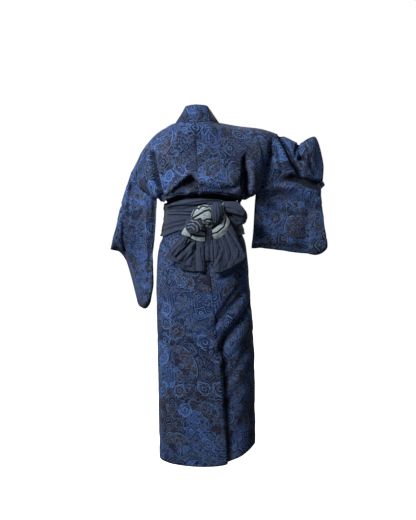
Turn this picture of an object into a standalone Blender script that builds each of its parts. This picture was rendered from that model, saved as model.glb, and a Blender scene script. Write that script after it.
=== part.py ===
"""A woman's kimono as it is worn, with its sash tied behind: every cut length of cloth is a closed wall.

The front faces -Y, the wearer's left is +X and +Z is up. The origin is on the shoulder line, in the middle of
the body, where the shoulders carry the garment. Tables and sizes are in millimetres; meshes are in metres.
"""

import math
from collections import namedtuple

import bpy
import numpy as np
from mathutils import Vector
from mathutils.bvhtree import BVHTree

MM = 0.001
CLOTH = 2.0
COLLAR_CLOTH = 2.4
SASH_CLOTH = 3.0
TAIL_CLOTH = 2.4
SEAM_GAP = 0.3
HALF_GAP = SEAM_GAP / 2
SPLIT_WAY = np.array([0.31, 0.17, 0.93])
LAYER_STEP = 8.5
NECK_SHARE = 0.24

Colour = namedtuple("Colour", "name red green blue roughness")
PRINT = Colour("printed_cotton", 0.020, 0.034, 0.095, 0.85)
SASH = Colour("sash_cotton", 0.024, 0.030, 0.048, 0.80)
SAGE = Colour("sash_pale_band", 0.30, 0.35, 0.33, 0.80)

# One row for each level of the body, from the shoulder line to the hem. The middle of the back is at
# (mid_x, back_y, back_z) and the middle of the front at (mid_x, front_y, front_z). Each side has its own
# reach (left_x, right_x), height there, and depth of its back and front edges.
Level = namedtuple(
    "Level",
    "name mid_x back_y back_z front_y front_z"
    " left_x left_z left_back left_front right_x right_z right_back right_front",
)
LEVELS = [
    Level("blades", 22, 108, -95, -92, -110, 240, -214, 22, -24, -240, -104, 24, -28),
    Level("armpit", 20, 126, -165, -106, -165, 198, -254, 40, -34, -216, -196, 38, -40),
    Level("blouse", 17, 143, -215, -116, -205, 170, -272, 46, -36, -197, -246, 46, -38),
    Level("lip", 15, 147, -240, -120, -236, 160, -281, 44, -34, -172, -270, 50, -36),
    Level("turn", 14, 139, -259, -118, -254, 154, -287, 34, -28, -154, -280, 42, -30),
    Level("tuck", 12, 118, -262, -110, -262, 137, -284, 10, -10, -130, -279, 12, -12),
    Level("waist_top", 10, 110, -284, -106, -284, 130, -300, 0, 0, -124, -296, 0, 0),
    Level("waist", 7, 106, -335, -104, -335, 130, -340, 0, 0, -125, -340, 0, 0),
    Level("waist_low", 4, 111, -392, -106, -392, 139, -396, 0, 0, -139, -396, 0, 0),
    Level("fold_low", 3, 122, -436, -113, -430, 156, -438, 0, 0, -153, -436, 0, 0),
    Level("hip", 1, 124, -500, -114, -500, 166, -500, 0, 0, -162, -500, 0, 0),
    Level("seat", 0, 126, -575, -112, -575, 170, -575, 0, 0, -168, -575, 0, 0),
    Level("thigh", -2, 122, -700, -110, -700, 169, -700, 0, 0, -180, -700, 0, 0),
    Level("knee", -5, 120, -850, -110, -850, 167, -850, 0, 0, -189, -848, 0, 0),
    Level("calf", -10, 122, -1020, -112, -1015, 164, -1020, 0, 0, -192, -1005, 0, 0),
    Level("hem", -15, 126, -1243, -112, -1226, 161, -1240, 0, 0, -194, -1183, 0, 0),
]

# The top edge of the body: round the back of the neck, then along each shoulder to the sleeve seam.
TopPoint = namedtuple("TopPoint", "share x y z")
TOP_LEFT = [
    TopPoint(0.0, 24, 84, -4),
    TopPoint(0.12, 74, 68, 0),
    TopPoint(0.24, 98, 18, -4),
    TopPoint(0.48, 160, 0, -36),
    TopPoint(0.70, 207, -3, -84),
    TopPoint(0.88, 243, -4, -148),
    TopPoint(1.0, 261, -4, -182),
]
TOP_RIGHT = [
    TopPoint(0.0, 24, 84, -4),
    TopPoint(0.12, -26, 68, 2),
    TopPoint(0.24, -56, 18, -2),
    TopPoint(0.48, -132, 0, -14),
    TopPoint(0.70, -195, -3, -21),
    TopPoint(0.88, -238, -4, -31),
    TopPoint(1.0, -256, -4, -38),
]
YOKE_SHARE = 0.42
YOKE_OUT = 15.0
YOKE_UP = 9.0

# Angles round the body are in degrees from its middle, and count towards the panel's own side. The side
# seam lies a little in front of the side. A front panel ends at its overlap seam, and the overlap panel at
# the collar seam or, below the collar, at its own edge. ROUND is the place between two levels: 2 is the
# first level of the table, 17 the hem.
SIDE_SEAM = 78.0
BACK_SEAM_ROUND = [0, 9, 12, 14, 15, 16, 17]
BACK_SEAM_ANGLE = [0, 0, -6, -12, -15, -18, -23]
SEAM_ROUND = [0, 1, 2, 3, 4, 5, 6, 7, 8, 17]
SEAM_ANGLE = [8, 8, 8, 4.5, 2, -1, -4, -8, -13, -14]
COLLAR_ROUND = [7, 8, 9, 10, 11, 12]
COLLAR_ANGLE = [-12.5, -20, -26, -32, -38, -43]
OVERLAP_EDGE = -58.0
SPAN_ROUND = [2, 3, 4, 5, 7, 12]
SPAN_ANGLE = [12.5, 15, 17.5, 18, 20, 18]
COLLAR_END = 12.0

# Large folds of the body. Depth is negative for a trough. The two widths are towards +X and towards -X.
Fold = namedtuple("Fold", "name x0 z0 x1 z1 depth wide_plus wide_minus")
BACK_FOLDS = [
    Fold("left_arm_crease", 192, -112, 153, -283, -11, 10, 9),
    Fold("right_arm_pleat", -153, -150, -152, -285, -24, 12, 15),
    Fold("small_of_back", 40, -208, 66, -244, -13, 15, 13),
    Fold("blouse_drag_left", 110, -150, 70, -235, 5, 16, 16),
    Fold("blouse_drag_right", -95, -120, -100, -240, 6, 22, 18),
    Fold("skirt_edge", -76, -830, -99, -1262, -12, 9, 30),
    Fold("skirt_edge_ridge", -58, -830, -82, -1262, 6, 30, 12),
    Fold("hip_drag_upper", -52, -720, -152, -606, -8, 14, 14),
    Fold("hip_drag_lower", -64, -815, -176, -668, -11, 16, 16),
    Fold("knee_drag", -112, -905, -176, -800, -7, 16, 14),
    Fold("thigh_sweep", 120, -806, -44, -772, -4, 12, 12),
]
FRONT_FOLDS = [
    Fold("chest_left", 128, -120, 92, -262, -6, 14, 14),
    Fold("chest_right", -112, -95, -92, -262, -7, 16, 14),
    Fold("lap_drag", 108, -640, -60, -760, -6, 30, 30),
]

# Sleeves are bags: one row for each section, from the body side to the cuff. A section hangs from its top
# point through two points of its middle surface to its lowest point; arm and belly are half thicknesses.
Section = namedtuple(
    "Section",
    "share top_x top_y top_z upper_x upper_z lower_x lower_z low_x low_y low_z arm belly back_x back_y",
)
RIGHT_SLEEVE = [
    Section(0.00, -256, -4, -34, -236, -140, -205, -250, -178, 4, -456, 40, 17, 0.0, 1.0),
    Section(0.22, -292, -6, -47, -274, -150, -245, -262, -212, 6, -461, 46, 19, 0.05, 1.0),
    Section(0.44, -328, -10, -66, -316, -158, -296, -272, -268, 6, -467, 45, 20, 0.10, 1.0),
    Section(0.62, -343, -12, -74, -352, -158, -352, -280, -345, 4, -476, 42, 20, 0.12, 1.0),
    Section(0.76, -349, -14, -78, -380, -128, -396, -280, -414, 2, -481, 40, 18, 0.10, 1.0),
    Section(0.86, -352, -16, -80, -394, -98, -420, -252, -456, 0, -450, 38, 15, 0.05, 1.0),
    Section(0.94, -354, -18, -80, -400, -70, -428, -208, -431, -2, -370, 36, 12, 0.0, 1.0),
    Section(1.00, -356, -20, -76, -403, -50, -440, -166, -417, -4, -282, 34, 10, 0.0, 1.0),
]
LEFT_SLEEVE = [
    Section(0.00, 264, -4, -178, 222, -212, 190, -262, 184, 12, -596, 38, 24, 0.0, 1.0),
    Section(0.22, 283, -8, -240, 250, -300, 214, -390, 197, -6, -660, 38, 24, 0.10, 1.0),
    Section(0.42, 299, -14, -300, 268, -372, 238, -460, 217, -34, -684, 37, 24, 0.22, 1.0),
    Section(0.60, 311, -22, -356, 282, -424, 254, -510, 234, -66, -682, 35, 18, 0.36, 1.0),
    Section(0.76, 324, -32, -402, 297, -450, 269, -522, 250, -112, -645, 30, 12, 0.34, 0.94),
    Section(0.90, 334, -42, -440, 309, -464, 286, -514, 272, -166, -573, 26, 9, 0.32, 0.95),
    Section(1.00, 341, -48, -464, 319, -470, 300, -481, 292, -212, -493, 22, 8, 0.30, 0.95),
]
UPPER_AT = 0.24
LOWER_AT = 0.52
ARMHOLE_END = 0.52
ARM_TOP = 0.16
LOW_ROUND = 0.95
SLEEVE_BLEND = 0.45
RIGHT_SLEEVE_FOLDS = [
    Fold("elbow_crease", -283, -62, -352, -186, -11, 11, 10),
    Fold("elbow_hood", -352, -92, -356, -128, -13, 9, 8),
    Fold("forearm_trough", -318, -205, -434, -238, -12, 13, 13),
    Fold("forearm_ridge", -222, -232, -318, -232, 8, 12, 12),
    Fold("bag_ridge", -318, -236, -420, -282, 9, 12, 12),
    Fold("bag_hollow", -385, -330, -362, -440, -7, 22, 20),
]
LEFT_SLEEVE_FOLDS = [
    Fold("outer_crease", 262, -246, 287, -470, -8, 12, 12),
    Fold("bag_crease", 214, -420, 216, -640, 6, 14, 12),
]

# The collar band stands up at the nape and at the sides of the neck, and lies flat on the chest.
NAPE_RISE = (0, -22, 66)
NECK_RISE = (-30, -12, 46)

# The sash round the waist, between two places of the body, and its large folds.
SASH_TOP = 7.45
SASH_SIDE_DROP = 0.4
SASH_BOTTOM = 10.35
SASH_CLEAR = 6.5
SASH_FRONT_CLEAR = 16.5
SashFold = namedtuple("SashFold", "level slope depth width")
SASH_FOLDS = [
    SashFold(0.10, 0.0006, 3.0, 0.08),
    SashFold(0.32, -0.0012, -1.75, 0.05),
    SashFold(0.48, 0.0008, 4.0, 0.09),
    SashFold(0.66, 0.0012, -1.75, 0.05),
    SashFold(0.84, 0.0002, 3.5, 0.08),
]

# Strips of the sash at the knot: both edges at each station, and how far the strip stands out between them.
Station = namedtuple("Station", "ax ay az bx by bz bulge")
LOOP = [
    Station(-68, 165, -312, -68, 150, -285, 4),
    Station(-105, 172, -303, -102, 150, -278, 6),
    Station(-136, 172, -322, -133, 148, -295, 7),
    Station(-150, 168, -342, -156, 146, -324, 5),
    Station(-137, 160, -349, -148, 142, -359, 4),
    Station(-109, 156, -344, -116, 138, -366, 3),
]
KNOT = [
    Station(-34, 140, -292, -58, 138, -289, 2),
    Station(-29, 160, -294, -62, 158, -291, 5),
    Station(-28, 171, -319, -64, 169, -315, 8),
    Station(-28, 166, -343, -63, 164, -340, 6),
    Station(-33, 150, -362, -58, 148, -359, 3),
]
CORE = [
    Station(41, 138, -336, 35, 138, -315, 2),
    Station(35, 156, -341, 32, 154, -305, 6),
    Station(7, 163, -337, 10, 158, -296, 9),
    Station(-12, 160, -334, -10, 154, -295, 7),
    Station(-23, 150, -330, -22, 146, -299, 4),
]
GATHER = [
    Station(60, 140, -392, 56, 140, -359, 2),
    Station(53, 154, -398, 46, 154, -352, 7),
    Station(32, 160, -401, 28, 158, -350, 9),
    Station(15, 154, -393, 13, 152, -353, 6),
    Station(8, 142, -384, 7, 142, -357, 2),
]
CORE_LOW = [
    Station(-4, 140, -371, -4, 140, -348, 2),
    Station(-9, 152, -375, -9, 152, -343, 5),
    Station(-20, 152, -371, -21, 152, -342, 5),
    Station(-27, 144, -364, -27, 144, -348, 2),
]
BAND_LEFT = [
    Station(74, 134, -396, 58, 134, -377, 2),
    Station(46, 138, -410, 37, 137, -393, 4),
    Station(18, 142, -417, 14, 141, -403, 4),
    Station(0, 138, -419, 0, 138, -407, 2),
]
BAND_RIGHT = [
    Station(-66, 138, -323, -73, 137, -320, 1),
    Station(-72, 146, -341, -89, 143, -338, 4),
    Station(-68, 150, -365, -96, 146, -362, 5),
    Station(-53, 150, -383, -81, 147, -392, 5),
    Station(-35, 147, -392, -40, 146, -411, 3),
]
FOLD_BETWEEN = [
    Station(-7, 133, -379, -28, 133, -379, 2),
    Station(-6, 135, -392, -29, 135, -391, 5),
    Station(-7, 135, -414, -27, 135, -414, 5),
    Station(-9, 133, -435, -26, 133, -435, 2),
]

# The tails hang in pleats: the top and the bottom of each ridge and valley.
Pleat = namedtuple("Pleat", "ax ay az bx by bz")
TAIL_LEFT = [
    Pleat(67, 131, -401, 133, 134, -482),
    Pleat(60, 134, -404, 117, 143, -488),
    Pleat(53, 132, -407, 96, 133, -496),
    Pleat(46, 135, -413, 78, 146, -501),
    Pleat(35, 131, -416, 60, 134, -509),
    Pleat(25, 134, -420, 42, 146, -509),
    Pleat(17, 131, -421, 27, 133, -512),
    Pleat(11, 134, -422, 14, 148, -525),
    Pleat(5, 134, -422, 2, 144, -527),
    Pleat(0, 131, -422, -4, 133, -523),
]
TAIL_RIGHT = [
    Pleat(-36, 131, -412, -42, 135, -525),
    Pleat(-41, 135, -416, -49, 145, -530),
    Pleat(-48, 132, -414, -60, 138, -531),
    Pleat(-55, 136, -410, -74, 148, -528),
    Pleat(-64, 132, -407, -88, 137, -521),
    Pleat(-72, 136, -402, -104, 148, -510),
    Pleat(-81, 132, -395, -119, 137, -501),
    Pleat(-88, 135, -386, -132, 146, -492),
    Pleat(-95, 132, -377, -143, 138, -487),
    Pleat(-99, 131, -370, -151, 132, -480),
]
TAIL_MIDDLE = [
    Pleat(-10, 129, -441, -10, 130, -486),
    Pleat(-18, 132, -442, -19, 138, -488),
    Pleat(-27, 130, -442, -28, 135, -492),
    Pleat(-33, 128, -441, -35, 129, -491),
]


def pchip(keys, values, at):
    """Smooth values at the points asked for, through the rows given and with no overshoot."""
    keys = np.asarray(keys, float)
    values = np.asarray(values, float)
    at = np.asarray(at, float)
    step = np.diff(keys)
    shape = (-1,) + (1,) * (values.ndim - 1)
    slope = np.diff(values, axis=0) / step.reshape(shape)
    place = np.clip(np.searchsorted(keys, at, side="right") - 1, 0, len(keys) - 2)
    share = ((at - keys[place]) / step[place]).reshape(at.shape + (1,) * (values.ndim - 1))
    width = step[place].reshape(share.shape)
    return hermite(share, values[place], values[place + 1], tangents(slope), place, width)


def tangents(slope):
    """Slopes at the rows: none where the values turn, and no steeper than their neighbours."""
    product = slope[:-1] * slope[1:]
    total = slope[:-1] + slope[1:]
    inner = np.where(product > 0, 2 * product / np.where(total == 0, 1, total), 0)
    return np.concatenate([slope[:1], inner, slope[-1:]])


def hermite(share, start, end, tangent, place, width):
    square, cube = share**2, share**3
    return (
        (2 * cube - 3 * square + 1) * start
        + (cube - 2 * square + share) * width * tangent[place]
        + (-2 * cube + 3 * square) * end
        + (cube - square) * width * tangent[place + 1]
    )


def smooth_step(value):
    value = np.clip(value, 0, 1)
    return value * value * (3 - 2 * value)


def column(rows, name):
    return np.array([getattr(row, name) for row in rows], float)


def unit(vectors):
    return vectors / np.maximum(np.linalg.norm(vectors, axis=-1, keepdims=True), 1e-9)


def fold_push(points, folds):
    """How far each point moves out because of the folds near it."""
    push = np.zeros(points.shape[:-1])
    x, z = points[..., 0], points[..., 2]
    for fold in folds:
        run_x, run_z = fold.x1 - fold.x0, fold.z1 - fold.z0
        length = math.hypot(run_x, run_z)
        along = ((x - fold.x0) * run_x + (z - fold.z0) * run_z) / length**2
        beside = ((x - fold.x0) * run_z - (z - fold.z0) * run_x) / length
        if run_z > 0:
            beside = -beside
        wide = np.where(beside < 0, fold.wide_plus, fold.wide_minus)
        past = np.maximum(np.maximum(-along, along - 1), 0) * length
        push += fold.depth * np.exp(-((beside / wide) ** 2) - (past / (2.2 * wide)) ** 2)
    return push


def level_points(angle, front):
    """Points of every level at the angles given, as (levels, angles, 3). The angle counts from the middle of
    the back, or of the front, and is positive on the wearer's left."""
    turn = np.radians(angle)
    sine, cosine = np.abs(np.sin(turn)), np.cos(turn)
    left = np.asarray(angle) >= 0

    def side(name):
        on_left, on_right = column(LEVELS, "left_" + name), column(LEVELS, "right_" + name)
        return np.where(left, on_left[:, None], on_right[:, None])

    near, far = ("front", "back") if front else ("back", "front")
    mid_x = column(LEVELS, "mid_x")[:, None]
    near_y, near_z = column(LEVELS, near + "_y")[:, None], column(LEVELS, near + "_z")[:, None]
    far_y, far_z = column(LEVELS, far + "_y")[:, None], column(LEVELS, far + "_z")[:, None]
    edge_y = side(near)
    pull = np.abs(cosine) ** 0.90
    rise = np.abs(cosine) ** 2.3
    x = mid_x + (side("x") - mid_x) * sine**0.92
    y = edge_y + np.where(cosine >= 0, near_y - edge_y, far_y - edge_y) * pull
    z = side("z") + np.where(cosine >= 0, near_z - side("z"), far_z - side("z")) * rise
    return np.stack(np.broadcast_arrays(x, y, z), axis=-1)


def top_edge(share, side):
    rows = TOP_LEFT if side > 0 else TOP_RIGHT
    table = np.stack([column(rows, axis) for axis in "xyz"], axis=1)
    return pchip(column(rows, "share"), table, np.clip(share, 0, 1))


def body_points(angle, place, share, side, front):
    """Points of the body's cloth. Share is the place on the top edge where each column of points starts."""
    angle, place, share = (np.asarray(a, float) for a in np.broadcast_arrays(angle, place, share))
    levels = level_points(angle.ravel(), front)
    top = top_edge(share.ravel(), side)
    out = np.array([0, -YOKE_OUT if front else YOKE_OUT, YOKE_UP])
    yoke = top * (1 - YOKE_SHARE) + levels[0] * YOKE_SHARE + out
    stack = np.concatenate([top[None], yoke[None], levels])
    at = place.ravel()
    row = np.clip(np.floor(at).astype(int), 0, len(stack) - 2)
    pick = np.arange(len(at))
    tangent = tangents(np.diff(stack, axis=0))
    share_in = (at - row)[:, None]
    square, cube = share_in**2, share_in**3
    points = (
        (2 * cube - 3 * square + 1) * stack[row, pick]
        + (cube - 2 * square + share_in) * tangent[row, pick]
        + (-2 * cube + 3 * square) * stack[row + 1, pick]
        + (cube - square) * tangent[row + 1, pick]
    )
    points = points.reshape(angle.shape + (3,))
    behind = smooth_step((points[..., 1] + 12) / 24)
    push = fold_push(points, BACK_FOLDS) * behind + fold_push(points, FRONT_FOLDS) * (1 - behind)
    return points + outward(points) * push[..., None]


def outward(points):
    """The level direction away from the body's upright axis."""
    return unit(points * np.array([1.0, 1.0, 0.0]))


def ring_share(place):
    """0 above the sash, where the sides are open, and 1 below it, where they are sewn."""
    return smooth_step(place - 6)


def back_points(u, place, side):
    reach = 90 + (90 - SIDE_SEAM) * ring_share(place)
    seam = pchip(BACK_SEAM_ROUND, BACK_SEAM_ANGLE, place)
    return body_points(seam * (1 - u) + side * reach * u, place, u, side, False)


def front_layer(angle, place, share, side):
    """Points of one front. The wearer's left front lies over the right one."""
    points = body_points(side * angle, place, share, side, True)
    if side < 0:
        return points
    over = smooth_step((74 - angle) / 14) * smooth_step((place - 0.4) / 1.6)
    return points + outward(points) * (LAYER_STEP * over)[..., None]


def front_points(q, place, side):
    """Q runs from the overlap seam, or the collar, to the side."""
    edge = pchip(SEAM_ROUND, SEAM_ANGLE, place)
    reach = 90 + (SIDE_SEAM - 90) * ring_share(place)
    angle = edge * (1 - q) + reach * q
    share = NECK_SHARE + (1 - NECK_SHARE) * q
    return front_layer(angle, place, share, side)


def overlap_points(q, place, side):
    """Q runs from the overlap seam to the collar, or to the panel's own edge below the collar."""
    seam = pchip(SEAM_ROUND, SEAM_ANGLE, place)
    beside_collar = pchip(COLLAR_ROUND, COLLAR_ANGLE, np.clip(place, 7.0, COLLAR_END))
    edge = np.where(place > COLLAR_END + 0.07, OVERLAP_EDGE, beside_collar)
    return front_layer(seam * (1 - q) + edge * q, place, NECK_SHARE + 0 * place, side)


class Sheet:
    """One length of cloth: points and faces of its inner side, and how it is thickened."""

    def __init__(self, name, points, faces, thickness, colour, towards):
        self.name = name
        self.points = np.array(points, float).reshape(-1, 3)
        self.faces = [tuple(face) for face in faces]
        self.thickness = thickness
        self.colour = colour
        self.normals = self.find_normals()
        if (self.normals * towards(self.points)).sum() < 0:
            self.faces = [face[::-1] for face in self.faces]
            self.normals = -self.normals
        self.rim = self.find_rim()

    def find_normals(self):
        corners = self.points[np.array(self.faces)]
        across = np.cross(corners[:, 2] - corners[:, 0], corners[:, 3] - corners[:, 1])
        normals = np.zeros_like(self.points)
        for k in range(4):
            np.add.at(normals, np.array(self.faces)[:, k], across)
        return unit(normals)

    def find_rim(self):
        """Edges with a face on one side only, each in its face's own order."""
        sides = {}
        for face in self.faces:
            for k in range(4):
                sides[(face[k], face[(k + 1) % 4])] = True
        return [side for side in sides if (side[1], side[0]) not in sides]

    def pull_back_rim(self):
        """Leaves half a seam gap along every edge."""
        along = np.zeros_like(self.points)
        for start, end in self.rim:
            step = unit(self.points[end] - self.points[start])
            along[start] += step
            along[end] += step
        rim = sorted({point for side in self.rim for point in side})
        self.points[rim] += unit(np.cross(self.normals[rim], along[rim])) * HALF_GAP

    def solid(self):
        """Points and triangles of the closed wall. Both sides of a face are split the same way."""
        shift = len(self.points)
        points = np.concatenate([self.points, self.points + self.normals * self.thickness])
        triangles = []
        for a, b, c, d in self.faces:
            if np.linalg.norm(points[a] - points[c]) < np.linalg.norm(points[b] - points[d]):
                halves = ((a, b, c), (a, c, d))
            else:
                halves = ((a, b, d), (b, c, d))
            for half in halves:
                triangles.append(half[::-1])
                triangles.append(tuple(k + shift for k in half))
        for start, end in self.rim:
            # Neighbours at a seam split their rims the same way, so that these stay parallel.
            if (points[end] - points[start]) @ SPLIT_WAY > 0:
                triangles += [(start, end, end + shift), (start, end + shift, start + shift)]
            else:
                triangles += [(start, end, start + shift), (end, end + shift, start + shift)]
        return points, triangles

    def seat(self, carriers):
        """Moves the cloth towards the body until it lies a seam gap from what carries it."""
        gaps = []
        own = self.solid()
        for carrier in carriers:
            other = carrier.solid()
            gaps += gaps_along(samples(own), other, -1.0) + gaps_along(samples(other), own, 1.0)
        self.points[:, 1] -= min(gaps) - SEAM_GAP

    def build(self):
        points, triangles = self.solid()
        mesh = bpy.data.meshes.new(self.name)
        mesh.from_pydata([tuple(point) for point in points * MM], [], triangles)
        mesh.shade_smooth()
        mesh.materials.append(material(self.colour))
        bpy.context.scene.collection.objects.link(bpy.data.objects.new(self.name, mesh))


def gaps_along(points, solid, way):
    """How far each point that faces the solid lies from it, along Y."""
    tree = BVHTree.FromPolygons([Vector(point) for point in solid[0]], solid[1])
    hits = (tree.ray_cast(Vector(point), Vector((0, way, 0))) for point in points)
    return [hit[3] for hit in hits if hit[3] is not None]


def samples(solid):
    """The corners of the triangles and the middles of their sides."""
    corners = solid[0][np.array(solid[1])]
    middles = (corners + np.roll(corners, 1, axis=1)) / 2
    return np.concatenate([solid[0], middles.reshape(-1, 3)])


def material(colour):
    made = bpy.data.materials.get(colour.name)
    if made is None:
        made = bpy.data.materials.new(colour.name)
        made.use_nodes = True
        shader = made.node_tree.nodes["Principled BSDF"]
        shader.inputs["Base Color"].default_value = (colour.red, colour.green, colour.blue, 1)
        shader.inputs["Roughness"].default_value = colour.roughness
        shader.inputs["Metallic"].default_value = 0.0
    return made


def share_seams(sheets):
    """Where the edges of two lengths of cloth meet, both are thickened in the same direction."""
    for n, one in enumerate(sheets):
        rim_one = sorted({point for side in one.rim for point in side})
        for other in sheets[n + 1 :]:
            rim_other = sorted({point for side in other.rim for point in side})
            apart = np.linalg.norm(one.points[rim_one][:, None] - other.points[rim_other][None], axis=-1)
            for a, b in zip(*np.nonzero(apart < 0.02)):
                both = unit(one.normals[rim_one[a]] + other.normals[rim_other[b]])
                one.normals[rim_one[a]] = both
                other.normals[rim_other[b]] = both


def grid_faces(rows, cols, loop=False):
    spans = cols if loop else cols - 1
    return [
        (i * cols + j, i * cols + (j + 1) % cols, (i + 1) * cols + (j + 1) % cols, (i + 1) * cols + j)
        for i in range(rows - 1)
        for j in range(spans)
    ]


NECK_SHARES = np.array([0, 0.08, 0.16, NECK_SHARE])
SHOULDER_SHARES = np.array([NECK_SHARE, 0.33, 0.42, 0.52, 0.62, 0.72, 0.81, 0.90, 1.0])
CHEST_PLACES = np.arange(0, 7.1, 0.5)
ARMHOLE_PLACES = CHEST_PLACES[:9]
HIP_PLACES = np.array([12, 12.5, 13, 13.35, 13.7])
SKIRT_PLACES = np.arange(14, 17.01, 0.25)
UNDER_SASH = np.array([8.0, 9, 10, 11])
PLACES = np.concatenate([CHEST_PLACES, UNDER_SASH, HIP_PLACES, SKIRT_PLACES])
OVERLAP_PLACES = np.concatenate([[7.0], UNDER_SASH, [12, 12.06, 12.1], HIP_PLACES[1:], SKIRT_PLACES])


def body_back(name, side):
    """Half of the back. It meets its front at the shoulder, where the real cloth only turns over."""
    shares = np.concatenate([NECK_SHARES[:-1], SHOULDER_SHARES])
    points = back_points(shares[None, :], PLACES[:, None], side)
    return Sheet(name, points, grid_faces(len(PLACES), len(shares)), CLOTH, PRINT, outward_up)


def body_front(name, side):
    q = (SHOULDER_SHARES - NECK_SHARE) / (1 - NECK_SHARE)
    points = front_points(q[None, :], PLACES[:, None], side)
    return Sheet(name, points, grid_faces(len(PLACES), len(q)), CLOTH, PRINT, outward_up)


def outward_up(points):
    return outward(points) + np.array([0, 0, 0.2])


def overlap_panel(name, side):
    q = np.linspace(0, 1, 5)
    points = overlap_points(q[None, :], OVERLAP_PLACES[:, None], side)
    places = len(OVERLAP_PLACES)
    return Sheet(name, points, grid_faces(places, len(q)), CLOTH, PRINT, outward_up)


def collar(name, side):
    """The collar from the middle of the nape to its end, as rows of points from its seam to its free edge."""
    across = np.linspace(0, 1, 5)
    rows = []
    for share in NECK_SHARES[:-1]:
        seam = back_points(share, 0.0, side)
        part = share / NECK_SHARE
        rise = np.array(NAPE_RISE) * (1 - part) + np.array(NECK_RISE) * [side, 1, 1] * part
        rows.append([seam + rise * c for c in across])
    chest = np.concatenate([CHEST_PLACES[:-1], [7.0], UNDER_SASH, [COLLAR_END]])
    for place in chest:
        if place < 7:
            angle = pchip(SEAM_ROUND, SEAM_ANGLE, place)
        else:
            angle = pchip(COLLAR_ROUND, COLLAR_ANGLE, place)
        span = pchip(SPAN_ROUND, SPAN_ANGLE, max(place, 2.0))
        flat = front_layer(angle - span * across, np.full(5, max(place, 2.0)), NECK_SHARE, side)
        seam = front_layer(angle, place, NECK_SHARE, side)
        drape = flat - flat[0]
        if place < 2:
            lie = smooth_step(place / 2)
            rise = drape[-1] * lie + np.array(NECK_RISE) * [side, 1, 1] * (1 - lie)
            drape = drape * lie + rise * across[:, None] * (1 - lie)
        rows.append(seam + drape)
    return Sheet(name, rows, grid_faces(len(rows), len(across)), COLLAR_CLOTH, PRINT, outward_up)


# Places down a section: the first nine are sewn to the armhole.
SEWN_DOWN = [0, 0.02, 0.06, 0.12, 0.20, 0.28, 0.36, 0.44, ARMHOLE_END]
DOWN = np.array(SEWN_DOWN + [0.58, 0.64, 0.71, 0.78, 0.85, 0.91, 0.96, 1.0])
OUT_LEFT = np.array([0, 0.06, 0.12, 0.2, 0.3, 0.4, 0.5, 0.6, 0.7, 0.8, 0.9, 1.0])
OUT_RIGHT = np.array([0, 0.07, 0.14, 0.22, 0.32, 0.42, 0.52, 0.62, 0.72, 0.82, 0.92, 1.0])


def sleeve_side(sections, folds, side, front, share, down):
    """Points of the back or the front of a sleeve, at shares of its length and places down each section."""
    share, down = np.broadcast_arrays(share, down)

    def at(name):
        return pchip(column(sections, "share"), column(sections, name), share.ravel()).reshape(share.shape)

    knots = np.array([0, UPPER_AT, LOWER_AT, 1.0])
    x = along_down(knots, [at("top_x"), at("upper_x"), at("lower_x"), at("low_x")], down)
    z = along_down(knots, [at("top_z"), at("upper_z"), at("lower_z"), at("low_z")], down)
    y = at("top_y") + (at("low_y") - at("top_y")) * down
    to_back = unit(np.stack([at("back_x") * side, at("back_y"), 0 * x], axis=-1))
    arm, belly = at("arm"), at("belly")
    deep = arm + (belly - arm) * smooth_step((down - ARM_TOP) / (LOWER_AT - ARM_TOP))
    top_round = np.sqrt(np.clip(1 - (1 - np.clip(down / ARM_TOP, 0, 1)) ** 2, 0, 1))
    low_round = np.sqrt(np.clip(1 - ((np.clip(down, LOW_ROUND, 1) - LOW_ROUND) / (1 - LOW_ROUND)) ** 2, 0, 1))
    half = deep * top_round * low_round
    half = np.where(down > 0, np.maximum(half, HALF_GAP), 0)
    sign = -1.0 if front else 1.0
    points = np.stack([x, y, z], axis=-1) + to_back * (sign * half)[..., None]
    push = fold_push(points, folds) * np.clip(half / 12, 0, 1)
    return points + to_back * (sign * push)[..., None]


def along_down(knots, values, down):
    """Each column's own curve through four knots."""
    values = np.stack(values)
    slope = np.diff(values, axis=0) / np.diff(knots).reshape(-1, 1, 1)
    tangent = tangents(slope)
    row = np.clip(np.searchsorted(knots, down, side="right") - 1, 0, len(knots) - 2)
    width = np.diff(knots)[row]
    share = (down - knots[row]) / width

    def pick(table, rows):
        return np.take_along_axis(table, rows[None], axis=0)[0]

    square, cube = share**2, share**3
    return (
        (2 * cube - 3 * square + 1) * pick(values, row)
        + (cube - 2 * square + share) * width * pick(tangent, row)
        + (-2 * cube + 3 * square) * pick(values, row + 1)
        + (cube - square) * width * pick(tangent, row + 1)
    )


def sleeve_halves(sections, folds, side, out):
    """The back and the front of a sleeve, moved at their sewn ends to meet the armhole."""
    halves = []
    sewn = len(SEWN_DOWN)
    for front in (False, True):
        points = sleeve_side(sections, folds, side, front, out[:, None], DOWN[None, :])
        edge = front_points if front else back_points
        delta = edge(1.0 + 0 * ARMHOLE_PLACES, ARMHOLE_PLACES, side) - points[0, :sewn]
        fade_down = 1 - smooth_step((np.arange(len(DOWN)) - sewn + 1) / 6)
        shift = np.concatenate([delta, np.repeat(delta[-1:], len(DOWN) - sewn, axis=0)])
        shift = shift * fade_down[:, None]
        fade_out = 1 - smooth_step(out / SLEEVE_BLEND)
        halves.append(points + shift[None] * fade_out[:, None, None])
    return halves


def sleeve(name, sections, folds, side, out):
    """A sleeve in one length of cloth, turned over the arm and sewn along its low edge."""
    back, front = sleeve_halves(sections, folds, side, out)
    points = np.concatenate([back[:, ::-1], front[:, 1:]], axis=1)
    away = unit(points - points.mean(axis=1, keepdims=True)).reshape(-1, 3)
    return Sheet(name, points, grid_faces(*points.shape[:2]), CLOTH, PRINT, lambda _: away)


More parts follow.
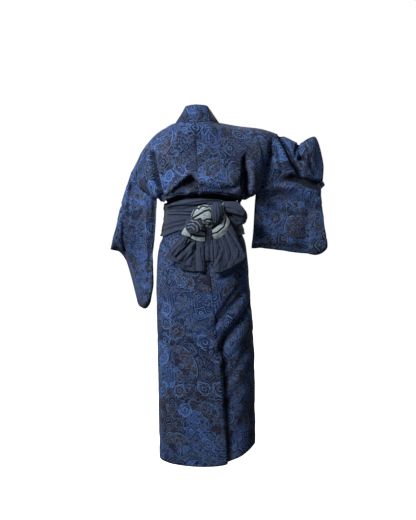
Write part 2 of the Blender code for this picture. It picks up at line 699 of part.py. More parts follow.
def sleeve_parts(name, sections, folds, side, out):
    """The same, as a back and a front that meet along the top, where the real cloth only turns over."""
    halves = sleeve_halves(sections, folds, side, out)
    centre = np.mean(halves, axis=(0, 2))[:, None]
    parts = []
    for end, points in zip(("_back", "_front"), halves):
        away = unit(points - centre).reshape(-1, 3)
        faces = grid_faces(*points.shape[:2])
        parts.append(Sheet(name + end, points, faces, CLOTH, PRINT, lambda _: away))
    return parts


def sash_ring(columns, rows):
    """The sash round the waist, as rows of closed rings."""
    turn = np.linspace(-180, 180, columns, endpoint=False)[None, :]
    level = np.linspace(0, 1, rows)[:, None]
    top = SASH_TOP + SASH_SIDE_DROP * np.sin(np.radians(turn)) ** 2
    place = top + (SASH_BOTTOM - top) * level
    turn, place, level = np.broadcast_arrays(turn, place, level)
    behind = np.abs(turn) <= 90
    around = np.where(behind, turn, np.sign(turn) * (180 - np.abs(turn)))
    zero = np.zeros_like(place)
    back = body_points(around, place, zero, 1, False)
    front = body_points(around, place, zero, 1, True)
    points = np.where(behind[..., None], back, front)
    clear = SASH_CLEAR + (SASH_FRONT_CLEAR - SASH_CLEAR) * smooth_step((np.abs(turn) - 80) / 30)
    for fold in SASH_FOLDS:
        beside = (level - fold.level - fold.slope * turn) / fold.width
        clear = clear + fold.depth * np.exp(-(beside**2))
    return points + outward(points) * clear[..., None]


def sash_wrap():
    points = sash_ring(48, 9)
    return Sheet("sash_wrap", points, grid_faces(9, 48, True), SASH_CLOTH, SASH, outward)


def strip(name, stations, thickness, colour, rows=11, cols=6):
    """A strip of the sash that stands out between its two edges."""
    at = np.linspace(0, len(stations) - 1, rows)
    table = pchip(np.arange(len(stations)), np.array(stations, float), at)
    c = np.linspace(0, 1, cols)[None, :, None]
    one, other = table[:, None, 0:3], table[:, None, 3:6]
    points = one * (1 - c) + other * c
    middle = points.mean(axis=(0, 1))
    along = np.gradient(points, axis=0)
    across = np.gradient(points, axis=1)
    out = unit(np.cross(along, across))
    if (out * (points - middle + [0, 40, 0])).sum() < 0:
        out = -out
    points = points + out * table[:, None, 6:7] * 4 * c * (1 - c)
    away = out.reshape(-1, 3)
    return Sheet(name, points, grid_faces(rows, cols), thickness, colour, lambda _: away)


def tail(name, pleats, thickness, colour, rows=8, fine=2):
    """A tail of the sash, hanging in pleats that open towards its end."""
    at = np.linspace(0, len(pleats) - 1, (len(pleats) - 1) * fine + 1)
    table = pchip(np.arange(len(pleats)), np.array(pleats, float), at)
    s = np.linspace(0, 1, rows)[:, None, None]
    top, end = table[None, :, 0:3], table[None, :, 3:6]
    points = top * (1 - s) + end * s
    points = points + np.array([0, 5, 0]) * np.sin(np.pi * s) * 0.6
    away = np.tile([0.0, 1.0, 0.0], (points.shape[0] * points.shape[1], 1))
    return Sheet(name, points, grid_faces(*points.shape[:2]), thickness, colour, lambda _: away)


def clear_scene():
    for thing in list(bpy.data.objects):
        bpy.data.objects.remove(thing)


def main():
    clear_scene()
    garment = [
        body_back("back_left", 1),
        body_back("back_right", -1),
        body_front("front_left", 1),
        body_front("front_right", -1),
        overlap_panel("overlap_left", 1),
        overlap_panel("overlap_right", -1),
        collar("collar_left", 1),
        collar("collar_right", -1),
        *sleeve_parts("sleeve_left", LEFT_SLEEVE, LEFT_SLEEVE_FOLDS, 1, OUT_LEFT),
        sleeve("sleeve_right", RIGHT_SLEEVE, RIGHT_SLEEVE_FOLDS, -1, OUT_RIGHT),
    ]
    share_seams(garment)
    # From the body outwards: each is seated on what is already there.
    sash = [
        sash_wrap(),
        tail("sash_tail_middle", TAIL_MIDDLE, TAIL_CLOTH, SASH, 6),
        tail("sash_tail_left", TAIL_LEFT, TAIL_CLOTH, SASH),
        tail("sash_tail_right", TAIL_RIGHT, TAIL_CLOTH, SASH),
        strip("sash_fold_between", FOLD_BETWEEN, TAIL_CLOTH, SASH, 7, 5),
        strip("sash_band_left", BAND_LEFT, TAIL_CLOTH, SAGE, 8, 5),
        strip("sash_band_right", BAND_RIGHT, TAIL_CLOTH, SAGE, 11, 5),
        strip("sash_loop", LOOP, TAIL_CLOTH, SASH, 14, 5),
        strip("sash_core_low", CORE_LOW, TAIL_CLOTH, SAGE, 8, 5),
        strip("sash_gather", GATHER, TAIL_CLOTH, SASH),
        strip("sash_core", CORE, TAIL_CLOTH, SAGE),
        strip("sash_knot", KNOT, TAIL_CLOTH, SASH),
    ]
    sheets = garment + sash
    for place, sheet in enumerate(sheets):
        sheet.pull_back_rim()
        if sheet in sash:
            sheet.seat(sheets[:place])
        sheet.build()


main()
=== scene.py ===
"""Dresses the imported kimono: creased cotton with its print, a folded sash with its knot, and the stage.

The cloth's surfaces come from the same levels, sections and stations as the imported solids, on finer grids.
The front faces -Y, the wearer's left is +X and +Z is up. Tables are in millimetres, and meshes and places on
the bolt in metres.
"""

import math
from collections import namedtuple
from functools import reduce

import bpy
import numpy as np
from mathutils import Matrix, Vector, noise


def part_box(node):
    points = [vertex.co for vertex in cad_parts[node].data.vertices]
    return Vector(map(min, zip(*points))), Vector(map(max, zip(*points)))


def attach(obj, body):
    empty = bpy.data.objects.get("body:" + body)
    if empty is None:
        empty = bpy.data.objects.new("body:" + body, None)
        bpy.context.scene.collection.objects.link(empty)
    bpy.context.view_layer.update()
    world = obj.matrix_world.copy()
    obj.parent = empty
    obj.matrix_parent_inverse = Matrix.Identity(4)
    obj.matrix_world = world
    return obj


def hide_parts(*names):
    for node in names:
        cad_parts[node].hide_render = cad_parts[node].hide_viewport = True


bl_info = {
    "name": "Worn kimono with sash",
    "version": (1, 0, 0),
    "blender": (4, 5, 0),
    "location": "3D View > Sidebar > Kimono",
    "description": "Lays creased, printed cotton and a tied sash over the packed kimono",
    "category": "Object",
}

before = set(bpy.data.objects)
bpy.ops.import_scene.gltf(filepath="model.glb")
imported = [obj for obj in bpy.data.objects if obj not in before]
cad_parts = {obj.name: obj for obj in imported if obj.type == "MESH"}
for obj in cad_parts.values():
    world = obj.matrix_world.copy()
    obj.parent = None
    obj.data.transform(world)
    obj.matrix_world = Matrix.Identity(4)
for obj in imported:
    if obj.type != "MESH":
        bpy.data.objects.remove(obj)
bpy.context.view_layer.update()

MM = 0.001

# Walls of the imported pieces, a sleeve's least half thickness, the gap that is left along every edge, how far
# apart two edges count as sewn, and how far the wearer's left front lies over the right one.
CLOTH = 2.0
COLLAR_CLOTH = 2.4
SASH_CLOTH = 3.0
TAIL_CLOTH = 2.4
HALF_GAP = 0.15
RIM_GAP = 0.04
SEWN_WITHIN = 0.05
LAYER_STEP = 8.5
# The neck's share of the top edge on each side.
NECK_SHARE = 0.24

# Where each piece starts on the bolt, in metres, so that the prints of the pieces differ.
OVERLAP_BOLT = 5
COLLAR_BOLT = 9
SLEEVE_BOLT = 13

# Small waves of the cloth: how wide they are, and where in the noise they are taken from.
COTTON_WAVES = 46.0
COTTON_SEED = 3.7
WRAP_WAVES = 30.0
SASH_WAVES = 13.0
SASH_SEED = 7.1

# A cloth that goes round the body has its creases fade in between two depths in y. The wound sash's go no
# deeper than WRAP_DEEPEST, because the body's cloth lies close under it, and their painted shade goes on to
# its sides.
BACK_CREASES = (-30, 10)
FRONT_CREASES = (-20, -45)
WRAP_CREASES = (15, 65)
WRAP_MARKS = (-20, 0)
WRAP_DEEPEST = -1.2
SASH_DEEPEST = -9.0

# How dark the painted shade in the hollows is. Relief is how far a place lies under the cloth round it,
# smoothed in that many rounds, and how much of it is fully dark. A crease's own depth counts past a start. The
# front's shallow creases and the sash's count for more, some whole pieces get painted shade, and all are a
# little dark along their rims, where dye gathers at the seams and shade is painted.
Relief = namedtuple("Relief", "rounds dark")
COTTON_RELIEF = Relief(50, 4.5)
SASH_RELIEF = Relief(80, 1.4)
CREASE_DARK = 12
CREASE_START = 0.45
FRONT_FROM = -30
FRONT_SHADE = 4
SASH_SHADE = 3.0
IN_SHADE = {"collar": 9.0, "sash_fold_between": 12.0}
EDGE_DARK = 0.4
SEAM_DARK = {"body_left": 0.24, "body_right": 0.24, "collar": 0.6}

# The camera was fitted to the photograph, 972 pixels of which make its focal length. It looks a little to one
# side and downwards, by the pixels given.
CAMERA = (0, 3.56, -0.14)
FOCAL_PIXELS = 972
PIXELS_TURNED = 5
PIXELS_DOWN = 98.5


# One row for each level of the body, from the shoulder line to the hem. The middle of the back is at
# (mid_x, back_y, back_z) and the middle of the front at (mid_x, front_y, front_z). Each side has its own
# reach (left_x, right_x), height there, and depth of its back and front edges.
Level = namedtuple(
    "Level",
    "name mid_x back_y back_z front_y front_z"
    " left_x left_z left_back left_front right_x right_z right_back right_front",
)
LEVELS = [
    Level("blades", 22, 108, -95, -92, -110, 240, -214, 22, -24, -240, -104, 24, -28),
    Level("armpit", 20, 126, -165, -106, -165, 198, -254, 40, -34, -216, -196, 38, -40),
    Level("blouse", 17, 143, -215, -116, -205, 170, -272, 46, -36, -197, -246, 46, -38),
    Level("lip", 15, 147, -240, -120, -236, 160, -281, 44, -34, -172, -270, 50, -36),
    Level("turn", 14, 139, -259, -118, -254, 154, -287, 34, -28, -154, -280, 42, -30),
    Level("tuck", 12, 118, -262, -110, -262, 137, -284, 10, -10, -130, -279, 12, -12),
    Level("waist_top", 10, 110, -284, -106, -284, 130, -300, 0, 0, -124, -296, 0, 0),
    Level("waist", 7, 106, -335, -104, -335, 130, -340, 0, 0, -125, -340, 0, 0),
    Level("waist_low", 4, 111, -392, -106, -392, 139, -396, 0, 0, -139, -396, 0, 0),
    Level("fold_low", 3, 122, -436, -113, -430, 156, -438, 0, 0, -153, -436, 0, 0),
    Level("hip", 1, 124, -500, -114, -500, 166, -500, 0, 0, -162, -500, 0, 0),
    Level("seat", 0, 126, -575, -112, -575, 170, -575, 0, 0, -168, -575, 0, 0),
    Level("thigh", -2, 122, -700, -110, -700, 169, -700, 0, 0, -180, -700, 0, 0),
    Level("knee", -5, 120, -850, -110, -850, 167, -850, 0, 0, -189, -848, 0, 0),
    Level("calf", -10, 122, -1020, -112, -1015, 164, -1020, 0, 0, -192, -1005, 0, 0),
    Level("hem", -15, 126, -1243, -112, -1226, 161, -1240, 0, 0, -194, -1183, 0, 0),
]

# The top edge of the body: round the back of the neck, then along each shoulder to the sleeve seam.
TopPoint = namedtuple("TopPoint", "share x y z")
TOP_LEFT = [
    TopPoint(0.0, 24, 84, -4),
    TopPoint(0.12, 74, 68, 0),
    TopPoint(0.24, 98, 18, -4),
    TopPoint(0.48, 160, 0, -36),
    TopPoint(0.70, 207, -3, -84),
    TopPoint(0.88, 243, -4, -148),
    TopPoint(1.0, 261, -4, -182),
]
TOP_RIGHT = [
    TopPoint(0.0, 24, 84, -4),
    TopPoint(0.12, -26, 68, 2),
    TopPoint(0.24, -56, 18, -2),
    TopPoint(0.48, -132, 0, -14),
    TopPoint(0.70, -195, -3, -21),
    TopPoint(0.88, -238, -4, -31),
    TopPoint(1.0, -256, -4, -38),
]
# The yoke lies between the top edge and the first level, a little further out and up.
YOKE_SHARE = 0.42
YOKE_OUT = 15.0
YOKE_UP = 9.0

# Angles round the body are in degrees from its middle, and count towards the panel's own side. The side
# seam lies a little in front of the side. A front panel ends at its overlap seam, and the overlap panel at
# the collar seam or, below the collar, at its own edge. ROUND is the place between two levels: 2 is the
# first level of the table, 17 the hem.
SIDE_SEAM = 78.0
BACK_SEAM_ROUND = [0, 9, 12, 14, 15, 16, 17]
BACK_SEAM_ANGLE = [0, 0, -6, -12, -15, -18, -23]
SEAM_ROUND = [0, 1, 2, 3, 4, 5, 6, 7, 8, 17]
SEAM_ANGLE = [8, 8, 8, 4.5, 2, -1, -4, -8, -13, -14]
COLLAR_ROUND = [7, 8, 9, 10, 11, 12]
COLLAR_ANGLE = [-12.5, -20, -26, -32, -38, -43]
OVERLAP_EDGE = -58.0
SPAN_ROUND = [2, 3, 4, 5, 7, 12]
SPAN_ANGLE = [12.5, 15, 17.5, 18, 20, 18]
COLLAR_END = 12.0
# The collar's seam swings to the overlap panel's edge over the blend, and the panel is at its own edge a step
# below the collar's end.
COLLAR_BLEND = 0.5
EDGE_STEP = 0.07
# Spans from nothing to all: the places where the sides become sewn, the angles and the places where the left
# front comes to lie over the right one, and the depths in y where the front's folds give way to the back's.
SIDES_SEWN = (6, 7)
OVER_ANGLE = (74, 60)
OVER_PLACE = (0.4, 2.0)
BEHIND = (-12, 12)

# A level's outline: the powers of the sine and the cosine that give its width, its depth and its height.
WIDTH_POWER = 0.92
DEPTH_POWER = 0.90
HEIGHT_POWER = 2.3

# How far a fold and a crease fade past their ends, in their own widths.
FOLD_FADE = 2.2
CREASE_FADE = 1.6

# Large folds of the body. Depth is negative for a trough. The two widths are towards +X and towards -X.
Fold = namedtuple("Fold", "name x0 z0 x1 z1 depth wide_plus wide_minus")
BACK_FOLDS = [
    Fold("left_arm_crease", 192, -112, 153, -283, -11, 10, 9),
    Fold("right_arm_pleat", -153, -150, -152, -285, -24, 12, 15),
    Fold("small_of_back", 40, -208, 66, -244, -13, 15, 13),
    Fold("blouse_drag_left", 110, -150, 70, -235, 5, 16, 16),
    Fold("blouse_drag_right", -95, -120, -100, -240, 6, 22, 18),
    Fold("skirt_edge", -76, -830, -99, -1262, -12, 9, 30),
    Fold("skirt_edge_ridge", -58, -830, -82, -1262, 6, 30, 12),
    Fold("hip_drag_upper", -52, -720, -152, -606, -8, 14, 14),
    Fold("hip_drag_lower", -64, -815, -176, -668, -11, 16, 16),
    Fold("knee_drag", -112, -905, -176, -800, -7, 16, 14),
    Fold("thigh_sweep", 120, -806, -44, -772, -4, 12, 12),
]
FRONT_FOLDS = [
    Fold("chest_left", 128, -120, 92, -262, -6, 14, 14),
    Fold("chest_right", -112, -95, -92, -262, -7, 16, 14),
    Fold("lap_drag", 108, -640, -60, -760, -6, 30, 30),
]

# Sleeves are bags: one row for each section, from the body side to the cuff. A section hangs from its top
# point through two points of its middle surface to its lowest point; arm and belly are half thicknesses.
Section = namedtuple(
    "Section",
    "share top_x top_y top_z upper_x upper_z lower_x lower_z low_x low_y low_z arm belly back_x back_y",
)
RIGHT_SLEEVE = [
    Section(0.00, -256, -4, -34, -236, -140, -205, -250, -178, 4, -456, 40, 17, 0.0, 1.0),
    Section(0.22, -292, -6, -47, -274, -150, -245, -262, -212, 6, -461, 46, 19, 0.05, 1.0),
    Section(0.44, -328, -10, -66, -316, -158, -296, -272, -268, 6, -467, 45, 20, 0.10, 1.0),
    Section(0.62, -343, -12, -74, -352, -158, -352, -280, -345, 4, -476, 42, 20, 0.12, 1.0),
    Section(0.76, -349, -14, -78, -380, -128, -396, -280, -414, 2, -481, 40, 18, 0.10, 1.0),
    Section(0.86, -352, -16, -80, -394, -98, -420, -252, -456, 0, -450, 38, 15, 0.05, 1.0),
    Section(0.94, -354, -18, -80, -400, -70, -428, -208, -431, -2, -370, 36, 12, 0.0, 1.0),
    Section(1.00, -356, -20, -76, -403, -50, -440, -166, -417, -4, -282, 34, 10, 0.0, 1.0),
]
LEFT_SLEEVE = [
    Section(0.00, 264, -4, -178, 222, -212, 190, -262, 184, 12, -596, 38, 24, 0.0, 1.0),
    Section(0.22, 283, -8, -240, 250, -300, 214, -390, 197, -6, -660, 38, 24, 0.10, 1.0),
    Section(0.42, 299, -14, -300, 268, -372, 238, -460, 217, -34, -684, 37, 24, 0.22, 1.0),
    Section(0.60, 311, -22, -356, 282, -424, 254, -510, 234, -66, -682, 35, 18, 0.36, 1.0),
    Section(0.76, 324, -32, -402, 297, -450, 269, -522, 250, -112, -645, 30, 12, 0.34, 0.94),
    Section(0.90, 334, -42, -440, 309, -464, 286, -514, 272, -166, -573, 26, 9, 0.32, 0.95),
    Section(1.00, 341, -48, -464, 319, -470, 300, -481, 292, -212, -493, 22, 8, 0.30, 0.95),
]
# Places down a section, from 0 at its top to 1: its two middle points, the end of the armhole, the end of the
# rounding under the top fold, and the start of that along the low edge. Over the blend, a share of its
# length, the sleeve still follows the body.
UPPER_AT = 0.24
LOWER_AT = 0.52
ARMHOLE_END = 0.52
ARM_TOP = 0.16
LOW_ROUND = 0.95
SLEEVE_BLEND = 0.45
# Places below the armhole over which the sewn edge still shapes the sleeve, and the half thickness under
# which its folds grow weaker.
SEWN_BLEND = 6
WEAK_FOLDS = 12
RIGHT_SLEEVE_FOLDS = [
    Fold("elbow_crease", -283, -62, -352, -186, -11, 11, 10),
    Fold("elbow_hood", -352, -92, -356, -128, -13, 9, 8),
    Fold("forearm_trough", -318, -205, -434, -238, -12, 13, 13),
    Fold("forearm_ridge", -222, -232, -318, -232, 8, 12, 12),
    Fold("bag_ridge", -318, -236, -420, -282, 9, 12, 12),
    Fold("bag_hollow", -385, -330, -362, -440, -7, 22, 20),
]
LEFT_SLEEVE_FOLDS = [
    Fold("outer_crease", 262, -246, 287, -470, -8, 12, 12),
    Fold("bag_crease", 214, -420, 216, -640, 6, 14, 12),
]

# The collar band stands up at the nape and at the sides of the neck, and lies flat on the chest.
NAPE_RISE = (0, -22, 66)
NECK_RISE = (-30, -12, 46)

# The sash round the waist, between two places of the body.
SASH_TOP = 7.45
SASH_SIDE_DROP = 0.4
SASH_BOTTOM = 10.35
SASH_CLEAR = 6.5
SASH_FRONT_CLEAR = 16.5
# Spans of degrees from the middle of the back: where it comes to stand off as in front, and where its layers
# come to lap. The edge of a lap is a share of the sash's height.
WRAP_FRONT = (80, 110)
WRAP_LAPS = (62, 96)
LAP_EDGE = 0.028

# Strips of the sash at the knot: both edges at each station, and how far the strip stands out between them.
Station = namedtuple("Station", "ax ay az bx by bz bulge")
# The loop turns round at its far end, wide where it is near the eye.
LOOP = [
    Station(-59, 165, -319, -63, 152, -288, 5),
    Station(-91, 173, -319, -88, 154, -283, 7),
    Station(-118, 174, -324, -116, 152, -285, 8),
    Station(-138, 171, -331, -142, 150, -304, 6),
    Station(-141, 167, -332, -156, 148, -333, 4),
    Station(-131, 162, -328, -150, 144, -357, 4),
    Station(-109, 158, -326, -118, 142, -367, 5),
    Station(-84, 154, -327, -88, 140, -363, 3),
]
KNOT = [
    Station(-33, 140, -296, -46, 138, -287, 2),
    Station(-30, 158, -298, -58, 156, -288, 6),
    Station(-29, 168, -312, -66, 166, -303, 10),
    Station(-32, 170, -327, -68, 168, -322, 11),
    Station(-36, 166, -342, -64, 164, -340, 9),
    Station(-37, 156, -353, -55, 154, -353, 5),
    Station(-37, 142, -361, -48, 140, -363, 2),
]
CORE = [
    Station(40, 138, -342, 38, 138, -326, 2),
    Station(30, 152, -350, 29, 150, -308, 6),
    Station(14, 160, -356, 13, 154, -297, 9),
    Station(-3, 163, -359, -7, 156, -293, 10),
    Station(-21, 161, -356, -26, 154, -294, 9),
    Station(-34, 152, -348, -37, 146, -305, 5),
    Station(-39, 142, -340, -41, 140, -317, 2),
]
GATHER = [
    Station(58, 138, -377, 58, 138, -354, 2),
    Station(53, 152, -385, 51, 150, -344, 6),
    Station(40, 160, -390, 35, 154, -341, 8),
    Station(25, 162, -391, 18, 156, -346, 8),
    Station(11, 156, -386, 5, 150, -355, 6),
    Station(0, 144, -381, -3, 142, -366, 2),
]
CORE_LOW = [
    Station(12, 140, -375, 11, 140, -350, 2),
    Station(-2, 153, -380, -3, 152, -344, 5),
    Station(-18, 155, -378, -20, 154, -339, 6),
    Station(-30, 150, -369, -32, 148, -341, 4),
    Station(-37, 142, -360, -37, 142, -347, 2),
]
BAND_LEFT = [
    Station(76, 134, -395, 71, 134, -386, 1),
    Station(64, 138, -399, 60, 137, -373, 3),
    Station(49, 140, -403, 47, 138, -375, 4),
    Station(32, 142, -414, 32, 140, -382, 4),
    Station(13, 142, -420, 13, 140, -386, 4),
    Station(-6, 138, -421, -6, 137, -390, 2),
]
BAND_RIGHT = [
    Station(-61, 150, -296, -72, 146, -282, 1),
    Station(-64, 150, -309, -72, 146, -307, 2),
    Station(-65, 148, -327, -82, 144, -331, 4),
    Station(-65, 150, -344, -94, 146, -354, 5),
    Station(-57, 151, -361, -92, 146, -376, 6),
    Station(-44, 150, -371, -75, 146, -399, 6),
    Station(-32, 148, -378, -51, 145, -413, 5),
    Station(-25, 144, -384, -32, 142, -416, 2),
]
FOLD_BETWEEN = [
    Station(-5, 133, -367, -33, 133, -367, 2),
    Station(-4, 137, -391, -32, 137, -388, 5),
    Station(-5, 137, -423, -32, 137, -423, 5),
    Station(-7, 133, -448, -30, 133, -448, 2),
]

# The tails hang in pleats: the top and the bottom of each ridge and valley.
Pleat = namedtuple("Pleat", "ax ay az bx by bz")
TAIL_LEFT = [
    Pleat(73, 131, -395, 137, 134, -480),
    Pleat(67, 135, -402, 117, 140, -485),
    Pleat(58, 138, -409, 92, 146, -494),
    Pleat(50, 134, -413, 71, 139, -504),
    Pleat(39, 138, -418, 46, 146, -507),
    Pleat(26, 130, -420, 26, 131, -511),
    Pleat(18, 138, -419, 18, 145, -525),
    Pleat(9, 141, -419, 6, 149, -527),
    Pleat(0, 138, -419, -3, 144, -526),
    Pleat(-6, 131, -420, -8, 133, -523),
]
TAIL_UNDER = [
    Pleat(82, 130, -452, 97, 131, -504),
    Pleat(67, 131, -452, 78, 136, -517),
    Pleat(53, 130, -452, 57, 133, -525),
    Pleat(39, 132, -452, 36, 138, -527),
    Pleat(18, 129, -452, 12, 132, -528),
]
TAIL_RIGHT = [
    Pleat(-33, 131, -415, -41, 135, -526),
    Pleat(-40, 138, -415, -53, 146, -530),
    Pleat(-49, 137, -412, -66, 143, -529),
    Pleat(-58, 133, -409, -81, 139, -522),
    Pleat(-67, 138, -403, -99, 144, -513),
    Pleat(-76, 134, -397, -113, 141, -504),
    Pleat(-83, 138, -388, -127, 144, -495),
    Pleat(-90, 134, -379, -140, 139, -487),
    Pleat(-95, 137, -370, -149, 141, -478),
    Pleat(-98, 131, -363, -152, 132, -470),
]
TAIL_MIDDLE = [
    Pleat(-6, 128, -418, -6, 130, -482),
    Pleat(-14, 132, -418, -15, 137, -489),
    Pleat(-23, 129, -418, -26, 132, -487),
    Pleat(-30, 132, -418, -35, 137, -493),
    Pleat(-37, 128, -418, -42, 129, -489),
]

# Thin lines of the other colour along the folds of the knot, and on its low core one wide line of painted
# shadow: half their width, and (x, z) places on them.
STRIPE_EDGE = 0.6
Stripe = namedtuple("Stripe", "half line")
PRINTED_LINES_AND_SHADE = {
    "sash_core": [
        Stripe(3.6, [(39, -340), (15, -326), (-3, -314), (-22, -309), (-31, -321), (-33, -340)]),
        Stripe(2.8, [
            (41, -337), (34, -321), (28, -309), (20, -302), (14, -307), (8, -299), (-4, -296),
            (-14, -300), (-24, -296), (-33, -305),
        ]),
        Stripe(4.6, [(39, -349), (25, -349), (10, -341), (6, -354), (-5, -367)]),
        Stripe(3.2, [(-3, -353), (-13, -342), (-24, -342), (-35, -346)]),
        Stripe(2.3, [(-3, -362), (-15, -351), (-28, -356)]),
    ],
    "sash_core_low": [
        Stripe(4.1, [(14, -353), (0, -362), (-11, -353), (-25, -360), (-16, -371), (0, -372)]),
        Stripe(3.2, [(-18, -342), (-28, -349), (-35, -358)]),
        # Painted shadow, where the knot's low core lies in shade beside the fold between the tails.
        Stripe(4.5, [(-2, -367), (-11, -376), (-23, -376)]),
    ],
    "sash_gather": [
        Stripe(0.8, [(53, -359), (36, -356), (22, -366), (20, -383)]),
        Stripe(0.6, [(53, -370), (40, -367), (30, -378)]),
        Stripe(0.9, [(42, -347), (22, -349), (9, -363), (7, -379)]),
    ],
    "sash_band_right": [
        Stripe(3.2, [(-82, -341), (-74, -369), (-51, -389), (-29, -396)]),
        Stripe(2.8, [(-70, -341), (-56, -361), (-34, -378)]),
        Stripe(1.7, [(-63, -350), (-68, -335), (-74, -321)]),
    ],
    "sash_band_left": [
        Stripe(3.5, [(42, -394), (25, -400), (-6, -403)]),
        Stripe(2.9, [(44, -373), (41, -389), (43, -405)]),
    ],
}


def pchip(keys, values, at):
    """Smooth values at the points asked for, through the rows given and with no overshoot."""
    keys = np.asarray(keys, float)
    values = np.asarray(values, float)
    at = np.asarray(at, float)
    step = np.diff(keys)
    slope = tangents(np.diff(values, axis=0) / step.reshape((-1,) + (1,) * (values.ndim - 1)))
    row = np.clip(np.searchsorted(keys, at, side="right") - 1, 0, len(keys) - 2)
    share = ((at - keys[row]) / step[row]).reshape(at.shape + (1,) * (values.ndim - 1))
    width = step[row].reshape(share.shape)
    return hermite(share, width, values[row], values[row + 1], slope[row], slope[row + 1])


def tangents(slope):
    """Slopes at the rows: none where the values turn, and no steeper than their neighbours."""
    product = slope[:-1] * slope[1:]
    total = slope[:-1] + slope[1:]
    inner = np.where(product > 0, 2 * product / np.where(total == 0, 1, total), 0)
    return np.concatenate([slope[:1], inner, slope[-1:]])


def hermite(share, width, start, end, leave, arrive):
    """Values at a share of the way between two rows. The curve leaves and reaches them at two slopes."""
    square, cube = share**2, share**3
    return (
        (2 * cube - 3 * square + 1) * start
        + (cube - 2 * square + share) * width * leave
        + (-2 * cube + 3 * square) * end
        + (cube - square) * width * arrive
    )


def smooth_step(value):
    value = np.clip(value, 0, 1)
    return value * value * (3 - 2 * value)


def fade_in(value, span):
    """0 at the first number of a span, and 1 at the second."""
    start, end = span
    return smooth_step((value - start) / (end - start))


def column(rows, name):
    return np.array([getattr(row, name) for row in rows], float)


def unit(vectors):
    return vectors / np.maximum(np.linalg.norm(vectors, axis=-1, keepdims=True), 1e-9)


def fold_push(points, folds):
    """How far each point moves out because of the folds near it."""
    push = np.zeros(points.shape[:-1])
    x, z = points[..., 0], points[..., 2]
    for fold in folds:
        run_x, run_z = fold.x1 - fold.x0, fold.z1 - fold.z0
        length = math.hypot(run_x, run_z)
        along = ((x - fold.x0) * run_x + (z - fold.z0) * run_z) / length**2
        beside = ((x - fold.x0) * run_z - (z - fold.z0) * run_x) / length
        if run_z > 0:
            beside = -beside
        wide = np.where(beside < 0, fold.wide_plus, fold.wide_minus)
        past = np.maximum(np.maximum(-along, along - 1), 0) * length
        push += fold.depth * np.exp(-((beside / wide) ** 2) - (past / (FOLD_FADE * wide)) ** 2)
    return push


def level_points(angle, front):
    """Points of every level at the angles given, as (levels, angles, 3). The angle counts from the middle of
    the back, or of the front, and is positive on the wearer's left."""
    turn = np.radians(angle)
    sine, cosine = np.abs(np.sin(turn)), np.cos(turn)
    left = np.asarray(angle) >= 0

    def side(name):
        on_left, on_right = column(LEVELS, "left_" + name), column(LEVELS, "right_" + name)
        return np.where(left, on_left[:, None], on_right[:, None])

    near, far = ("front", "back") if front else ("back", "front")
    mid_x = column(LEVELS, "mid_x")[:, None]
    near_y, near_z = column(LEVELS, near + "_y")[:, None], column(LEVELS, near + "_z")[:, None]
    far_y, far_z = column(LEVELS, far + "_y")[:, None], column(LEVELS, far + "_z")[:, None]
    edge_y = side(near)
    pull = np.abs(cosine) ** DEPTH_POWER
    rise = np.abs(cosine) ** HEIGHT_POWER
    x = mid_x + (side("x") - mid_x) * sine**WIDTH_POWER
    y = edge_y + np.where(cosine >= 0, near_y - edge_y, far_y - edge_y) * pull
    z = side("z") + np.where(cosine >= 0, near_z - side("z"), far_z - side("z")) * rise
    return np.stack(np.broadcast_arrays(x, y, z), axis=-1)


def top_edge(share, side):
    rows = TOP_LEFT if side > 0 else TOP_RIGHT
    table = np.stack([column(rows, axis) for axis in "xyz"], axis=1)
    return pchip(column(rows, "share"), table, np.clip(share, 0, 1))


def body_points(angle, place, share, side, front):
    """Points of the body's cloth. Share is the place on the top edge where each column of points starts."""
    angle, place, share = (np.asarray(a, float) for a in np.broadcast_arrays(angle, place, share))
    levels = level_points(angle.ravel(), front)
    top = top_edge(share.ravel(), side)
    out = np.array([0, -YOKE_OUT if front else YOKE_OUT, YOKE_UP])
    yoke = top * (1 - YOKE_SHARE) + levels[0] * YOKE_SHARE + out
    stack = np.concatenate([top[None], yoke[None], levels])
    slope = tangents(np.diff(stack, axis=0))
    at = place.ravel()
    row = np.clip(np.floor(at).astype(int), 0, len(stack) - 2)
    near, far = (row, np.arange(len(at))), (row + 1, np.arange(len(at)))
    points = hermite((at - row)[:, None], 1, stack[near], stack[far], slope[near], slope[far])
    points = points.reshape(angle.shape + (3,))
    behind = fade_in(points[..., 1], BEHIND)
    push = fold_push(points, BACK_FOLDS) * behind + fold_push(points, FRONT_FOLDS) * (1 - behind)
    return points + outward(points) * push[..., None]


def outward(points):
    """The level direction away from the body's upright axis."""
    return unit(points * np.array([1.0, 1.0, 0.0]))


def ring_share(place):
    """0 above the sash, where the sides are open, and 1 below it, where they are sewn."""
    return fade_in(place, SIDES_SEWN)


def back_points(u, place, side):
    reach = 90 + (90 - SIDE_SEAM) * ring_share(place)
    seam = pchip(BACK_SEAM_ROUND, BACK_SEAM_ANGLE, place)
    return body_points(seam * (1 - u) + side * reach * u, place, u, side, False)


def front_layer(angle, place, share, side):
    """Points of one front. The wearer's left front lies over the right one."""
    points = body_points(side * angle, place, share, side, True)
    if side < 0:
        return points
    over = fade_in(angle, OVER_ANGLE) * fade_in(place, OVER_PLACE)
    return points + outward(points) * (LAYER_STEP * over)[..., None]


def front_points(q, place, side):
    """Q runs from the overlap seam, or the collar, to the side."""
    edge = pchip(SEAM_ROUND, SEAM_ANGLE, place)
    reach = 90 + (SIDE_SEAM - 90) * ring_share(place)
    angle = edge * (1 - q) + reach * q
    share = NECK_SHARE + (1 - NECK_SHARE) * q
    return front_layer(angle, place, share, side)


def overlap_points(q, place, side):
    """Q runs from the overlap seam to the collar, or to the panel's own edge below the collar."""
    seam = pchip(SEAM_ROUND, SEAM_ANGLE, place)
    beside_collar = pchip(COLLAR_ROUND, COLLAR_ANGLE, np.clip(place, COLLAR_ROUND[0], COLLAR_END))
    edge = np.where(place > COLLAR_END + EDGE_STEP, OVERLAP_EDGE, beside_collar)
    return front_layer(seam * (1 - q) + edge * q, place, NECK_SHARE + 0 * place, side)
